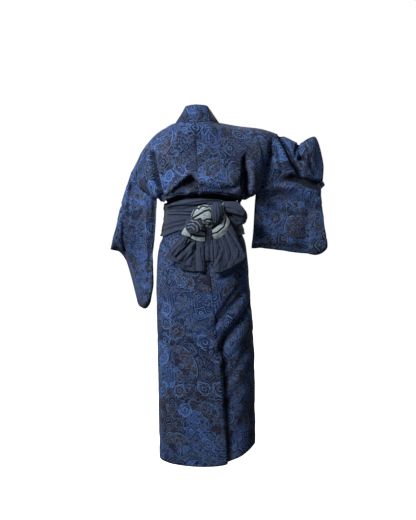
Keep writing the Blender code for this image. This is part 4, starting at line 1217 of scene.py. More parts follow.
def gather_push(across, along, gathers):
    """Round ridges with sharp valleys between them, uneven in width, none at the strip's own edges."""
    uneven = 0.22 * np.sin(along * 7 + across * 3) + 0.16 * np.sin(across * 11 + 1)
    lie = across * gathers.ridges + along * gathers.lean + uneven
    fade = smooth_step(across / 0.08) * smooth_step((1 - across) / 0.08)
    return gathers.depth * (np.abs(np.sin(np.pi * lie)) - 0.7) * fade


def strip(name, stations, gathers, rows, cols):
    """A strip of the sash that stands out between its two edges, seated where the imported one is."""
    at = np.linspace(0, len(stations) - 1, rows)
    table = pchip(np.arange(len(stations)), np.array(stations, float), at)
    c = np.linspace(0, 1, cols)[None, :, None]
    points = table[:, None, 0:3] * (1 - c) + table[:, None, 3:6] * c
    middle = points.mean(axis=(0, 1))
    out = unit(np.cross(np.gradient(points, axis=0), np.gradient(points, axis=1)))
    if (out * (points - middle + [0, 40, 0])).sum() < 0:
        out = -out
    points = points + out * table[:, None, 6:7] * 4 * c * (1 - c)
    seat = packed_back(name) - (points[..., 1] + out[..., 1] * TAIL_CLOTH).max()
    along = np.linspace(0, 1, rows)[:, None]
    points = points + out * gather_push(c[..., 0], along, gathers)[..., None] + [0, seat, 0]
    bolt = np.stack([lengths(points, 0), lengths(points, 1)], axis=-1)
    away = out.reshape(-1, 3)
    return grid_sheet(name, points, bolt, TAIL_CLOTH, lambda _: away)


def packed_back(name):
    """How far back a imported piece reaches, in millimetres."""
    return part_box(name)[1][1] / MM


def tail(name, pleats, rows=110, seated=None):
    """A tail of the sash, hanging in uneven pleats that open towards its end."""
    at = np.linspace(0, len(pleats) - 1, (len(pleats) - 1) * PLEAT_STEPS + 1)
    table = pchip(np.arange(len(pleats)), np.array(pleats, float), at)
    s = np.linspace(0, 1, rows)[:, None, None]
    points = table[None, :, 0:3] * (1 - s) + table[None, :, 3:6] * s
    points = points + np.array([0, 5, 0]) * np.sin(np.pi * s) * 0.6
    seat = packed_back(seated or name) - (points[..., 1].max() + TAIL_CLOTH)
    small = np.sin(at * 2 * np.pi * 1.37 + 0.5 + 2 * np.sin(at))[None, :] * (0.8 - 0.5 * s[..., 0])
    points = points + np.array([0, 1, 0]) * small[..., None] + [0, seat, 0]
    away = np.tile([0.0, 1.0, 0.0], (points.shape[0] * points.shape[1], 1))
    bolt = np.stack([lengths(points, 1), -lengths(points, 0)], axis=-1)
    return grid_sheet(name, points, bolt, TAIL_CLOTH, lambda _: away)


class Value:
    """A number that changes over the cloth. Its sums and products add Math nodes to the material."""

    def __init__(self, tree, socket):
        self.tree = tree
        self.socket = socket

    def math(self, kind, *others, clamp=False):
        node = self.tree.nodes.new("ShaderNodeMath")
        node.operation = kind
        node.use_clamp = clamp
        for place, value in enumerate((self, *others)):
            if isinstance(value, Value):
                self.tree.links.new(value.socket, node.inputs[place])
            else:
                node.inputs[place].default_value = value
        return Value(self.tree, node.outputs[0])

    def __add__(self, other):
        return self.math("ADD", other)

    def __sub__(self, other):
        return self.math("SUBTRACT", other)

    def __mul__(self, other):
        return self.math("MULTIPLY", other)

    def __truediv__(self, other):
        return self.math("DIVIDE", other)

    def flipped(self):
        return (self * -1.0) + 1.0

    def most(self, other):
        return self.math("MAXIMUM", other)

    def nothing(self):
        """0 everywhere."""
        return self * 0.0

    def size(self):
        return self.math("ABSOLUTE")

    def below(self, edge, soft):
        """1 where the value is under the edge, 0 over it."""
        return ((self * -1.0) + edge).math("DIVIDE", soft).math("ADD", 0.5, clamp=True)

    def line(self, middle, half, soft):
        """1 where the value is within half a line's width of its middle."""
        return (self - middle).size().below(half, soft)

    def sawtooth(self, pitch):
        """Distance from the nearest of a row of marks: 0 on a mark, 1 in the middle between two."""
        return ((self / pitch).math("FRACT") - 0.5).size() * 2.0


class Drawing:
    """The nodes of one material, with the places on the cloth that its patterns follow."""

    def __init__(self, name):
        self.material = bpy.data.materials.get(name) or bpy.data.materials.new(name)
        self.material.use_nodes = True
        self.tree = self.material.node_tree
        self.tree.nodes.clear()
        self.shader = self.node("ShaderNodeBsdfPrincipled")
        self.node("ShaderNodeOutputMaterial", {"Surface": self.shader.outputs[0]})

    def node(self, kind, inputs=None, **settings):
        node = self.tree.nodes.new(kind)
        for name, value in settings.items():
            setattr(node, name, value)
        self.fill(node, inputs or {})
        return node

    def fill(self, node, inputs):
        """Writes plain numbers and colours into a node's inputs, and links the rest."""
        for name, value in inputs.items():
            if isinstance(value, Value):
                value = value.socket
            if isinstance(value, bpy.types.NodeSocket):
                self.tree.links.new(value, node.inputs[name])
            else:
                node.inputs[name].default_value = value

    def place(self, layer):
        """Across and along a UV map, and both as one vector."""
        uv = self.node("ShaderNodeUVMap", uv_map=layer).outputs[0]
        parts = self.node("ShaderNodeSeparateXYZ", {0: uv})
        return Value(self.tree, parts.outputs[0]), Value(self.tree, parts.outputs[1]), uv

    def vector(self, x, y):
        return self.node("ShaderNodeCombineXYZ", {0: x, 1: y}).outputs[0]

    def attribute(self, name):
        made = self.node("ShaderNodeAttribute", attribute_type="GEOMETRY", attribute_name=name)
        return Value(self.tree, made.outputs["Fac"])

    def clouds(self, where, scale, detail=2.0, rough=0.5):
        inputs = {"Vector": where, "Scale": scale, "Detail": detail, "Roughness": rough}
        return Value(self.tree, self.node("ShaderNodeTexNoise", inputs, noise_dimensions="3D").outputs["Fac"])

    def patches(self, where, scale, feature="F1"):
        """How far each place lies from the middle of its patch, and three chance numbers of the patch."""
        inputs = {"Vector": where, "Scale": scale, "Randomness": 0.62}
        settings = {"voronoi_dimensions": "2D", "feature": feature, "distance": "CHEBYCHEV"}
        made = self.node("ShaderNodeTexVoronoi", inputs, **settings)
        parts = self.node("ShaderNodeSeparateColor", {0: made.outputs["Color"]})
        chance = [Value(self.tree, parts.outputs[k]) for k in range(3)]
        return Value(self.tree, made.outputs["Distance"]), chance

    def mix(self, share, one, other):
        ends = [end if isinstance(end, bpy.types.NodeSocket) else (*end, 1.0) for end in (one, other)]
        inputs = {"Factor": share, 6: ends[0], 7: ends[1]}
        return self.node("ShaderNodeMix", inputs, data_type="RGBA").outputs[2]

    def wear_and_shade(self, colour, deep, share):
        """Painted shade darkens the colour down in the creases, and the ridges are drawn a little paler."""
        paler = (self.attribute("ridge") * 0.25) + 1.0
        pale = self.node("ShaderNodeHueSaturation", {"Color": colour, "Value": paler})
        return self.mix(self.attribute("hollow") * share, pale.outputs[0], deep)

    def cotton(self, colour, rough, u, v, pitch, sheen):
        """Threads over and under each other, uneven yarn, and a soft nap."""
        warp = (u * (2 * math.pi / pitch)).math("SINE")
        weft = (v * (2 * math.pi / pitch)).math("SINE")
        slub_across = self.clouds(self.vector(u * 900.0, v * 40.0), 1.0)
        slub_along = self.clouds(self.vector(u * 40.0, v * 900.0), 1.0)
        yarn = (slub_across + slub_along) - 1.0
        height = (warp * weft * 0.5) + (yarn * 1.6)
        tone = self.node("ShaderNodeHueSaturation", {"Color": colour, "Value": (yarn * 0.5) + 1.0})
        bump = self.node("ShaderNodeBump", {"Height": height, "Strength": 0.35, "Distance": 0.0004})
        finish = {
            "Base Color": tone.outputs[0],
            "Normal": bump.outputs[0],
            "Roughness": (yarn * 0.1) + rough,
            "Sheen Weight": sheen,
            "Sheen Roughness": 0.5,
            "Specular IOR Level": 0.10,
        }
        self.fill(self.shader, finish)


# The print's single figures, each drawn in its own place on the cloth, one unit to its radius.
FAN, DIAMOND, PLUM, MAPLE, KIKU = 1, 2, 3, 4, 5
LEAF, BLOSSOM, RINGS = 1, 2, 3


def ring_of(x, y):
    """Distance from a figure's middle."""
    return ((x * x) + (y * y)).math("SQRT")


def draw_fan(x, y):
    """An open folding fan: dark leaf with a pale rim and thin ribs below it."""
    up = y + 0.85
    reach = ring_of(x, up)
    lean = x.math("ARCTAN2", up).size()
    within = lean.below(0.86, 0.02)
    leaf = within * reach.line(1.16, 0.44, 0.03)
    sides = (lean - 0.86).size().math("MULTIPLY", reach).below(0.035, 0.02) * reach.line(1.0, 0.72, 0.02)
    rims = within * (reach.line(1.72, 0.035, 0.02)).most(reach.line(0.66, 0.03, 0.02))
    ribs = within * reach.line(0.42, 0.22, 0.02) * (lean * 22.0).math("SINE").below(-0.3, 0.4)
    cover = within * reach.below(1.8, 0.02)
    pale = within * reach.line(1.63, 0.02, 0.02)
    return cover, leaf, rims.most(sides).most(ribs), pale


def draw_diamond(x, y):
    """Diamonds inside each other with rings in the middle."""
    slant = x.size() + (y.size() * 0.86)
    ring = ring_of(x, y)
    dark = slant.line(0.97, 0.075, 0.03).most(slant.line(0.66, 0.065, 0.03))
    dark = dark.most(ring.line(0.38, 0.06, 0.03)).most(ring.line(0.10, 0.06, 0.03))
    pale = slant.line(0.82, 0.035, 0.03).most(ring.line(0.25, 0.035, 0.03)) * 0.8
    return slant.below(1.03, 0.02), slant.nothing(), dark, pale


def draw_plum(x, y):
    """A five-petalled blossom in a cloud with a pale outline."""
    ring = ring_of(x, y)
    turn = x.math("ARCTAN2", y)
    petal = (turn * 2.5).math("COSINE").size()
    cloud = (turn * 2.5).math("SINE").size()
    edge = ring - (petal * 0.14)
    outer = ring - (cloud * 0.16)
    dark = edge.line(0.50, 0.045, 0.03).most(ring.line(0.14, 0.06, 0.03))
    stamens = ring.line(0.30, 0.09, 0.02) * petal.below(0.16, 0.05)
    pale = outer.line(0.80, 0.045, 0.03).most(edge.line(0.60, 0.03, 0.03)).most(ring.line(0.26, 0.04, 0.03))
    return outer.below(0.83, 0.02), ring.nothing(), dark.most(stamens), pale


def draw_maple(x, y, lobes=3.5):
    """A dark leaf with pointed lobes, pale veins and a pale outline."""
    ring = ring_of(x, y)
    lobe = (x.math("ARCTAN2", y) * lobes).math("COSINE").size().math("POWER", 1.6)
    edge = ring - (lobe * 0.66)
    leaf = edge.below(0.26, 0.03)
    vein = leaf * lobe.math("GREATER_THAN", 0.985) * ring.line(0.45, 0.3, 0.05)
    return edge.below(0.36, 0.03), leaf, ring.nothing(), edge.line(0.33, 0.03, 0.02).most(vein)


def draw_kiku(x, y):
    """A full chrysanthemum: dark, with many petals and a pale edge."""
    ring = ring_of(x, y)
    petal = (x.math("ARCTAN2", y) * 8.0).math("COSINE").size()
    edge = ring - (petal * 0.16)
    leaf = edge.below(0.74, 0.03)
    dark = ring.line(0.36, 0.03, 0.02).most(petal.below(0.16, 0.08) * ring.line(0.56, 0.2, 0.03))
    pale = edge.line(0.80, 0.025, 0.02).most(ring.line(0.24, 0.02, 0.02))
    return edge.below(0.84, 0.02), leaf, dark, pale


def draw_sprig(x, y):
    """A leaf with five lobes."""
    return draw_maple(x, y, 2.5)


def draw_rings(x, y):
    """A thin line that winds outwards."""
    scroll = ring_of(x, y) + (x.math("ARCTAN2", y) * 0.062)
    cover = scroll.below(0.9, 0.05)
    return cover, scroll.nothing(), scroll.sawtooth(0.36).below(0.30, 0.2) * cover, scroll.nothing()


LARGE = {FAN: draw_fan, DIAMOND: draw_diamond, PLUM: draw_plum, MAPLE: draw_maple, KIKU: draw_kiku}
SMALL = {LEAF: draw_sprig, BLOSSOM: draw_plum, RINGS: draw_rings}


def over(one, other):
    """Two figures' covers, leaves, dark lines and pale lines together."""
    return [a.most(b) for a, b in zip(one, other)]


def all_figures(draw, layer, figures):
    """Each face's own kind of figure, as its cover, leaf, dark lines and pale lines."""
    x, y, _ = draw.place(layer)
    kind = draw.attribute(layer + "_kind")
    layers = []
    for number, drawn in figures.items():
        here = kind.line(number, 0.3, 0.1)
        layers.append([part * here for part in drawn(x, y)])
    return reduce(over, layers)


def ground_lines(draw, u, v, soft, near, chance, pitch):
    """Dark and pale lines on the ground between the figures. A patch's chance number gives its fill."""
    next_one, _ = draw.patches(soft, pitch, "F2")
    chevrons = (v + (u.sawtooth(0.030) * 0.010)).sawtooth(0.0105).below(0.42, 0.20)
    stripes = (u + v).sawtooth(0.0125).below(0.40, 0.20)
    lattice = (u + v).sawtooth(0.0170).below(0.26, 0.16).most((u - v).sawtooth(0.0170).below(0.26, 0.16))
    nested = near.sawtooth(0.115).below(0.44, 0.20)
    fills = [(chevrons, 0.08, 0.07), (stripes, 0.23, 0.07), (lattice, 0.38, 0.07), (nested, 0.55, 0.10)]
    hatched = reduce(Value.most, [fill * chance.line(middle, half, 0.01) for fill, middle, half in fills])
    curl = (draw.clouds(soft, 36.0, 1.5) * 4.6).math("FRACT")
    curled = chance.line(0.84, 0.11, 0.01)
    border = (next_one - near).below(0.046, 0.016)
    piping = (next_one - near).line(0.078, 0.014, 0.016)
    outline = draw.clouds(soft, 23.0, 1.0)
    dark = (hatched * 0.85).most(curl.line(0.55, 0.15, 0.10) * curled * 0.62)
    dark = dark.most(border * 0.9).most(outline.line(0.535, 0.016, 0.010))
    pale = (curl.line(0.10, 0.07, 0.06) * curled * 0.34).most(outline.line(0.50, 0.014, 0.010) * 0.40)
    return dark, pale.most(piping * 0.5)


def printed_cotton(name, sizes, wear_and_shade):
    """Indigo cotton printed with patches of old figures. Its wear_and_shade argument is how far its colour has
    faded, as on the cloth's reverse side."""
    draw = Drawing(name)
    u, v, where = draw.place("bolt")
    wobble = (draw.clouds(where, 160.0, 1.0) - 0.5) * 0.0022
    soft = draw.vector(u + wobble, v - wobble)
    near, chance = draw.patches(soft, sizes.patches)
    ground_dark, ground_pale = ground_lines(draw, u, v, soft, near, chance[0], sizes.patches)
    leafy = draw.clouds(draw.vector(u + (wobble * 3.0), v - (wobble * 4.0)), 52.0, 1.0)
    ground_pale = ground_pale.most(leafy.line(0.442, 0.012, 0.012) * 0.55)
    cover, leaf, dark, pale = all_figures(draw, "figure", LARGE)
    small_cover, small_leaf, small_dark, small_pale = all_figures(draw, "sprig", SMALL)

    open_ground = cover.most(small_cover).flipped()
    below_sprig = small_cover.flipped()
    inner = (draw.clouds(soft, 78.0, 1.0) * 4.0).math("FRACT").line(0.5, 0.14, 0.1)
    leaf_all = (leaf * below_sprig).most(small_leaf).most(leafy.below(0.415, 0.016) * open_ground * 0.9)
    dark_all = (ground_dark * open_ground).most(dark * below_sprig).most(small_dark)
    pale_all = (ground_pale * open_ground).most(pale * below_sprig).most(small_pale)
    pale_all = pale_all.most(leaf * inner * below_sprig * 0.5)

    shade = (draw.clouds(soft, 14.0, 2.0) - 0.5) + ((chance[1] - 0.5) * 1.2)
    blue = draw.mix((shade * 1.6).math("ADD", 0.55, clamp=True), sizes.deep_blue, sizes.blue)
    blue = draw.mix(chance[2].below(0.32, 0.02) * 0.65, blue, sizes.brown)
    colour = draw.mix(leaf_all * 0.94, blue, sizes.brown)
    colour = draw.mix(dark_all.math("MULTIPLY", 0.92, clamp=True), colour, sizes.black)
    colour = draw.mix(pale_all.math("MULTIPLY", 0.9, clamp=True), colour, sizes.pale_blue)
    rubbed = draw.clouds(where, 9.0, 3.0).math("MULTIPLY", 0.05 + wear_and_shade)
    colour = draw.mix(rubbed, colour, sizes.rubbed)
    # Painted shade: the creases go towards black, and the ridges are drawn a little paler.
    colour = draw.wear_and_shade(colour, sizes.black, 0.75)
    draw.cotton(colour, 0.88, u, v, 0.0008, 0.04)
    return draw.material


def sash_cotton(name, main, other, sizes):
    """Soft ribbed cotton for the sash, slubbed and mottled, with thin marked lines of the other colour, a
    painted shadow drawn like them, and painted shade in its creases.
    """
    draw = Drawing(name)
    u, v, where = draw.place("bolt")
    mottle = draw.clouds(where, 90.0, 3.0, 0.6)
    streak = draw.clouds(draw.vector(u * 30.0, v * 420.0), 1.0, 3.0, 0.6)
    tone = ((mottle + streak) - 1.0).math("MULTIPLY", 0.9)
    share = tone.math("ADD", 0.5, clamp=True)
    colour = draw.mix(share, [c * 0.66 for c in main], [min(c * 1.28, 1.0) for c in main])
    colour = draw.mix(draw.attribute("stripe"), colour, other)
    ribs = v.sawtooth(sizes.rib).below(0.3, 0.3)
    colour = draw.mix(ribs * 0.22, colour, [c * 0.5 for c in main])
    # Painted shade: the creases go towards the ink colour, and the ridges are drawn a little paler.
    colour = draw.wear_and_shade(colour, sizes.ink, 0.80)
    draw.cotton(colour, 0.80, u, v, 0.0011, 0.12)
    return draw.material


# Printed figures that stand at given places of the back, by kind: their place, radius and turn. One is left
# out of a piece whose nearest face is further off than ON_PIECE.
ON_PIECE = 9
Figure = namedtuple("Figure", "kind x z radius turn")


def at_places(kinds):
    return [Figure(kind, *row) for kind, rows in kinds.items() for row in rows]


BACK_FIGURES = at_places({
    FAN: [
        (135, -78, 40, 100), (-180, -101, 38, 80), (68, -856, 52, 60), (103, -1161, 44, 20),
        (-146, -1078, 36, 70),
    ],
    DIAMOND: [
        (-95, -92, 29, 0), (62, -91, 19, 10), (30, -19, 30, 0), (123, -568, 24, 0), (13, -617, 23, 0),
        (-88, -721, 27, 10), (124, -926, 19, 0), (-23, -873, 19, 0), (42, -1107, 23, 0),
        (46, -1194, 22, 0), (-157, -860, 22, 0),
    ],
    PLUM: [
        (80, -167, 26, 0), (122, -189, 20, 0), (133, -665, 25, 0), (88, -967, 24, 0), (-7, -956, 26, 0),
        (66, -1036, 26, 0), (-7, -783, 30, 0),
    ],
    KIKU: [
        (-34, -166, 40, 0), (-18, -1042, 36, 0), (-121, -917, 30, 0), (-89, -583, 26, 0),
    ],
})
BACK_SPRIGS = at_places({
    LEAF: [
        (-5, -64, 13, 62), (-50, -59, 13, 9), (-24, -89, 13, 27), (-32, -35, 12, 44), (37, -126, 14, 51),
        (82, -639, 14, 36), (47, -675, 12, 34), (63, -752, 14, 2), (34, -728, 14, 58), (-88, -812, 13, 9),
        (-122, -792, 14, 3), (-100, -838, 13, 33), (-2, -1159, 13, 57), (-31, -1141, 13, 41),
        (-50, -1167, 13, 7), (-126, -580, 13, 12), (-54, -894, 13, 14),
    ],
})


def scatter(low, high, kinds, taken, tries, seed):
    """Figures at uneven places of the bolt, clear of each other and of those already there."""
    chance = np.random.default_rng(seed)
    found = [tuple(row) for row in taken]
    for _ in range(tries):
        kind, smallest, largest = kinds[chance.integers(len(kinds))]
        radius = chance.uniform(smallest, largest) * MM
        u, v = chance.uniform(low, high)
        if all(math.hypot(u - a, v - b) > (radius + size) * 0.98 for a, b, size, _, _ in found):
            found.append((u, v, radius, kind, chance.uniform(0, 360)))
    return np.array(found)


def print_layer(piece, layer, kinds, placed, tries, seed):
    """Gives each face the nearest figure, and each corner its place in that figure as a second UV map."""
    mesh = piece.data
    bolt = read_all(mesh.uv_layers["bolt"].data, "uv", 2).reshape(-1, 4, 2)
    middle = bolt.mean(axis=1)
    centres = read_all(mesh.polygons, "center", 3) / MM
    normals = read_all(mesh.polygons, "normal", 3)
    behind = np.nonzero((centres[:, 1] > 0) & (normals[:, 1] > 0.1))[0]
    taken = []
    if len(behind) == 0:
        placed = []
    for figure in placed:
        apart = np.hypot(centres[behind, 0] - figure.x, centres[behind, 2] - figure.z)
        nearest = apart.argmin()
        if apart[nearest] < ON_PIECE:
            u, v = middle[behind[nearest]]
            taken.append((u, v, figure.radius * MM, figure.kind, figure.turn))
    figures = scatter(middle.min(axis=0), middle.max(axis=0), kinds, taken, tries, seed)
    apart = np.stack([np.hypot(middle[:, 0] - f[0], middle[:, 1] - f[1]) / f[2] for f in figures])
    owner = figures[apart.argmin(axis=0)]
    turn = np.radians(owner[:, 4])
    offset = (bolt - owner[:, None, :2]) / owner[:, None, 2:3]
    x = offset[..., 0] * np.cos(turn)[:, None] + offset[..., 1] * np.sin(turn)[:, None]
    y = offset[..., 1] * np.cos(turn)[:, None] - offset[..., 0] * np.sin(turn)[:, None]
    uv = mesh.uv_layers.new(name=layer)
    uv.data.foreach_set("uv", np.stack([x, y], axis=-1).reshape(-1))
    kind = mesh.attributes.new(layer + "_kind", "FLOAT", "FACE")
    kind.data.foreach_set("value", owner[:, 3])


# Kinds of figures that are scattered over the cloth, each with its least and its largest radius.
LARGE_FIGURES = [(FAN, 34, 50), (DIAMOND, 20, 30), (DIAMOND, 24, 36)]
LARGE_FIGURES += [(PLUM, 20, 30), (KIKU, 26, 38), (MAPLE, 24, 34)]
SMALL_FIGURES = [(LEAF, 10, 14), (LEAF, 12, 17), (LEAF, 11, 16), (BLOSSOM, 8, 12), (RINGS, 7, 10)]


def print_figures(piece, seed):
    print_layer(piece, "figure", LARGE_FIGURES, BACK_FIGURES, 1500, seed)
    print_layer(piece, "sprig", SMALL_FIGURES, BACK_SPRIGS, 1400, seed + 50)


# How far the colour has faded on the cotton's reverse side.
REVERSE_FADE = 0.35


def length_setting(name, text, default, least):
    """A length that a user may change, in metres."""
    return bpy.props.FloatProperty(name=name, description=text, default=default, min=least, unit="LENGTH")


def colour_setting(name, text, default):
    """A colour that a user may change."""
    return bpy.props.FloatVectorProperty(name=name, description=text, default=default, subtype="COLOR")


def number_setting(name, text, default):
    """A plain number that a user may change."""
    return bpy.props.FloatProperty(name=name, description=text, default=default)


class ClothSettings(bpy.types.PropertyGroup):
    thick: length_setting("Cotton", "Thickness of the kimono's cloth", 0.0012, 0.0004)
    sash_thick: length_setting("Sash", "Thickness of the sash's cloth", 0.0016, 0.0004)
    crumple: length_setting("Crumple", "Depth of the kimono's small uneven waves", 0.0016, 0.0)
    sash_crumple: length_setting("Sash crumple", "Depth of the sash's small waves", 0.0012, 0.0)


class PrintSettings(bpy.types.PropertyGroup):
    patches: number_setting("Patches", "Patches of print in a metre", 11.0)
    blue: colour_setting("Blue", "Ground of the print", (0.036, 0.072, 0.205))
    deep_blue: colour_setting("Deep blue", "Darker patches", (0.013, 0.021, 0.058))
    pale_blue: colour_setting("Pale blue", "Thin outlines", (0.082, 0.168, 0.395))
    brown: colour_setting("Brown", "Leaves and fans", (0.025, 0.022, 0.025))
    # Black is also the colour of the painted shade in the creases.
    black: colour_setting("Black", "Drawn lines", (0.0035, 0.0035, 0.006))
    rubbed: colour_setting("Rubbed", "Where the dye has faded", (0.050, 0.062, 0.105))


class SashSettings(bpy.types.PropertyGroup):
    navy: colour_setting("Navy", "Main colour of the sash", (0.025, 0.036, 0.066))
    sage: colour_setting("Sage", "Pale bands of the sash", (0.235, 0.285, 0.298))
    # Ink is also the colour of the painted shade in the sash's creases and of its painted shadow.
    ink: colour_setting("Ink", "Thin lines on the pale bands", (0.008, 0.010, 0.020))
    rib: length_setting("Rib", "Pitch of the sash's woven ribs", 0.0035, 0.0)


class StageSettings(bpy.types.PropertyGroup):
    floor: length_setting("Floor", "Height of the floor under the shoulders", -1.345, -10.0)
    key: number_setting("Key", "Strength of the large light, in watts", 118.0)
    fill: number_setting("Fill", "Strength of the sky", 0.15)
    lens: number_setting("Lens", "Focal length in millimetres", 67.29)


class KIMONO_OT_stage(bpy.types.Operator):
    """Make the floor, the lights and the camera behind the garment"""

    bl_idname = "kimono.stage"
    bl_label = "Stage"

    def execute(self, context):
        sizes = context.scene.kimono_stage
        bpy.ops.object.select_all(action="DESELECT")
        bpy.ops.mesh.primitive_plane_add(size=24, location=(0, 0, 0))
        floor = context.active_object
        floor.name = "floor"
        floor.data.transform(floor.matrix_world)
        floor.matrix_world.identity()
        for point in floor.data.vertices:
            point.co.z = sizes.floor
        floor.data.materials.append(floor_paint())
        floor.visible_diffuse = False
        floor.visible_glossy = False
        white_room(context.scene, sizes.fill)
        area_light("key", (1.45, 1.65, 1.15), (0, 0, -0.40), 0.7, sizes.key)
        area_light("front", (-0.7, -3.1, 1.4), (0, 0, -0.6), 1.6, sizes.key * 0.9)
        fitted_camera(context, sizes.lens)
        context.scene.view_settings.view_transform = "Standard"
        return {"FINISHED"}


def white_room(scene, strength):
    """A faint sky that lights the cloth, and plain white where the camera sees past everything."""
    world = bpy.data.worlds.new("studio")
    scene.world = world
    world.use_nodes = True
    nodes, links = world.node_tree.nodes, world.node_tree.links
    lit, seen = nodes["Background"], nodes.new("ShaderNodeBackground")
    lit.inputs["Color"].default_value = (0.95, 0.97, 1.0, 1)
    lit.inputs["Strength"].default_value = strength
    seen.inputs["Color"].default_value = (1, 1, 1, 1)
    path, both = nodes.new("ShaderNodeLightPath"), nodes.new("ShaderNodeMixShader")
    links.new(path.outputs["Is Camera Ray"], both.inputs[0])
    links.new(lit.outputs[0], both.inputs[1])
    links.new(seen.outputs[0], both.inputs[2])
    links.new(both.outputs[0], nodes["World Output"].inputs["Surface"])


def fitted_camera(context, lens):
    bpy.ops.object.camera_add(location=CAMERA)
    camera = context.active_object
    camera.name = "camera"
    camera.data.lens = lens
    camera.data.sensor_width = 36
    yaw, pitch = math.atan(PIXELS_TURNED / FOCAL_PIXELS), math.atan(PIXELS_DOWN / FOCAL_PIXELS)
    level = Vector((-math.sin(yaw), -math.cos(yaw), 0))
    look = level * math.cos(pitch) - Vector((0, 0, 1)) * math.sin(pitch)
    camera.rotation_mode = "QUATERNION"
    camera.rotation_quaternion = look.to_track_quat("-Z", "Y")
    context.scene.camera = camera


def floor_paint():
    """A pale floor that stays pale far from the lights."""
    draw = Drawing("floor_paint")
    where = draw.node("ShaderNodeTexCoord").outputs["Object"]
    tone = draw.mix(draw.clouds(where, 0.8), (0.80, 0.80, 0.81), (0.84, 0.84, 0.84))
    glow = {"Emission Color": (1.0, 1.0, 1.0, 1.0), "Emission Strength": 0.92}
    draw.fill(draw.shader, {"Base Color": tone, "Roughness": 0.7, **glow})
    return draw.material


def area_light(name, place, target, size, watts):
    bpy.ops.object.light_add(type="AREA", location=place)
    light = bpy.context.active_object
    light.name = name
    light.data.size = size
    light.data.energy = watts
    light.rotation_mode = "QUATERNION"
    light.rotation_quaternion = (Vector(target) - Vector(place)).to_track_quat("-Z", "Y")


def mark_lines_and_shade(piece, node):
    """Writes where the thin lines of the other colour run, and the painted shadow drawn like them, as a value
    at each point.
    """
    points = read_all(piece.data.vertices, "co", 3) / MM
    stripe = piece.data.attributes.new("stripe", "FLOAT", "POINT")
    stripe.data.foreach_set("value", lines_and_shade_share(points, node))


def flat_area(sheet):
    """Area of a sheet's cloth in square metres."""
    corners = sheet.points[sheet.faces] * MM
    across = np.cross(corners[:, 2] - corners[:, 0], corners[:, 3] - corners[:, 1])
    return float(np.linalg.norm(across, axis=1).sum() / 2)


def flat_size(sheet):
    """Width and length of a sheet's cloth laid flat, and its area, in metres."""
    area = flat_area(sheet)
    span = np.ptp(sheet.bolt.reshape(-1, 2), axis=0)
    width, length = float(max(span[0], area / span[1])), float(span[1])
    return (width, length), min(area, width * length)


class KIMONO_OT_garment(bpy.types.Operator):
    """Lay the creased cotton of the body, the overlaps, the collar and the sleeves"""

    bl_idname = "kimono.garment"
    bl_label = "Kimono"

    def execute(self, context):
        cloth, dyes = context.scene.kimono_cloth, context.scene.kimono_print
        outside = printed_cotton("printed_cotton_face", dyes, 0.0)
        inside = printed_cotton("printed_cotton_reverse", dyes, REVERSE_FADE)
        sheets = {
            ("back_left", "front_left"): body_half("body_left", 1),
            ("back_right", "front_right"): body_half("body_right", -1),
            ("overlap_left",): overlap_panel("overlap_left_cloth", 1),
            ("overlap_right",): overlap_panel("overlap_right_cloth", -1),
            ("collar_left", "collar_right"): collar(),
            ("sleeve_left_back", "sleeve_left_front"): sleeve(
                "sleeve_left_cloth", LEFT_SLEEVE, LEFT_SLEEVE_FOLDS, 1
            ),
            ("sleeve_right",): sleeve("sleeve_right_cloth", RIGHT_SLEEVE, RIGHT_SLEEVE_FOLDS, -1),
        }
        share_seams(list(sheets.values()))
        for seed, (nodes, sheet) in enumerate(sheets.items(), 1):
            push = crease_push(sheet.points, sheet.name.removesuffix("_cloth"))
            sheet.points += sheet.normals * push[:, None]
            sheet.crumple(cloth.crumple / MM, COTTON_WAVES, COTTON_SEED)
            sheet.pull_back_rim()
            piece = sheet.build(cloth.thick / MM, outside, inside, flatten=sheet.name == "sleeve_left_cloth")
            # Painted shade from the creases: the front's shallow ones count for more, and pieces in shade are
            # darkened all over.
            shade = push * np.where(sheet.points[:, 1] < FRONT_FROM, FRONT_SHADE, 1)
            sheet.mark_hollows(piece, COTTON_RELIEF, shade - IN_SHADE.get(sheet.name, 0.0))
            print_figures(piece, seed)
            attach(piece, "root")
            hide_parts(*nodes)
            flat, area = flat_size(sheet)
        return {"FINISHED"}


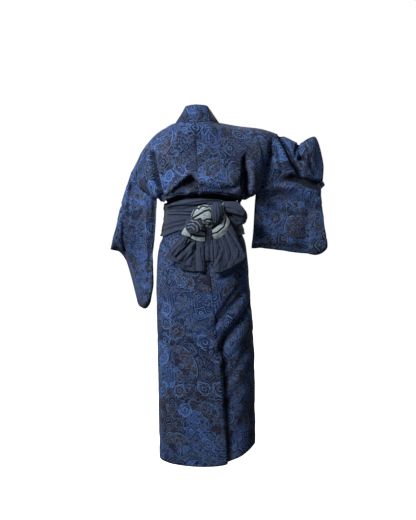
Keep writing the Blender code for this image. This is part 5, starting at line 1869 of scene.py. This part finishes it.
class KIMONO_OT_sash(bpy.types.Operator):
    """Wind the sash round the waist and tie its knot, loop and tails"""

    bl_idname = "kimono.sash"
    bl_label = "Sash"

    def execute(self, context):
        cloth, dyes = context.scene.kimono_cloth, context.scene.kimono_sash
        navy, sage = tuple(dyes.navy), tuple(dyes.sage)
        plain = sash_cotton("sash_navy", navy, sage, dyes)
        pale = sash_cotton("sash_sage", sage, tuple(dyes.ink), dyes)
        sheets = [sash_wrap()]
        sheets += [tail(name, pleats) for name, pleats in TAILS.items()]
        sheets.append(tail(UNDER_TAIL, TAIL_UNDER, 60, "sash_tail_middle"))
        sheets += [strip(name, *row) for name, row in STRIPS.items()]
        for seed, sheet in enumerate(sheets):
            node, wound = sheet.name, sheet.name == "sash_wrap"
            sheet.name = node + "_cloth"
            push = np.maximum(crease_push(sheet.points, node), WRAP_DEEPEST if wound else SASH_DEEPEST)
            sheet.points += sheet.normals * push[:, None]
            sheet.crumple(cloth.sash_crumple / MM, WRAP_WAVES if wound else SASH_WAVES, SASH_SEED + seed)
            sheet.pull_back_rim()
            finish = pale if node in PALE_PIECES else plain
            piece = sheet.build(cloth.sash_thick / MM, finish, finish)
            # Painted shade from the creases, which goes on to the wound sash's sides, and over the whole fold
            # between the tails.
            shade = crease_push(sheet.points, node, to_sides=True) * SASH_SHADE
            sheet.mark_hollows(piece, SASH_RELIEF, shade - IN_SHADE.get(node, 0.0))
            mark_lines_and_shade(piece, node)
            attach(piece, "root")
            if node == UNDER_TAIL:
                node = "sash_tail_left"
            else:
                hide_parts(node)
            "sash_pale_band" if finish == pale else "sash_cotton"
            flat, area = flat_size(sheet)
        return {"FINISHED"}


class KIMONO_PT_panel(bpy.types.Panel):
    """Sizes, colours and steps of the worn kimono"""

    bl_label = "Worn kimono"
    bl_idname = "KIMONO_PT_panel"
    bl_space_type = "VIEW_3D"
    bl_region_type = "UI"
    bl_category = "Kimono"

    def draw(self, context):
        for name in ("kimono_stage", "kimono_cloth", "kimono_print", "kimono_sash"):
            box = self.layout.box()
            group = getattr(context.scene, name)
            for prop in group.bl_rna.properties:
                if prop.identifier not in ("rna_type", "name"):
                    box.prop(group, prop.identifier)
        for step in STEPS:
            self.layout.operator(step.bl_idname)


STEPS = (KIMONO_OT_stage, KIMONO_OT_garment, KIMONO_OT_sash)
GROUPS = {
    "kimono_stage": StageSettings,
    "kimono_cloth": ClothSettings,
    "kimono_print": PrintSettings,
    "kimono_sash": SashSettings,
}


def register():
    for name, group in GROUPS.items():
        bpy.utils.register_class(group)
        setattr(bpy.types.Scene, name, bpy.props.PointerProperty(type=group))
    for made in (*STEPS, KIMONO_PT_panel):
        bpy.utils.register_class(made)


def unregister():
    for made in (KIMONO_PT_panel, *reversed(STEPS)):
        bpy.utils.unregister_class(made)
    for name, group in reversed(GROUPS.items()):
        delattr(bpy.types.Scene, name)
        bpy.utils.unregister_class(group)


def main():
    register()
    bpy.ops.kimono.stage()
    bpy.ops.kimono.garment()
    bpy.ops.kimono.sash()
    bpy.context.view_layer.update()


if __name__ == "__main__":
    main()
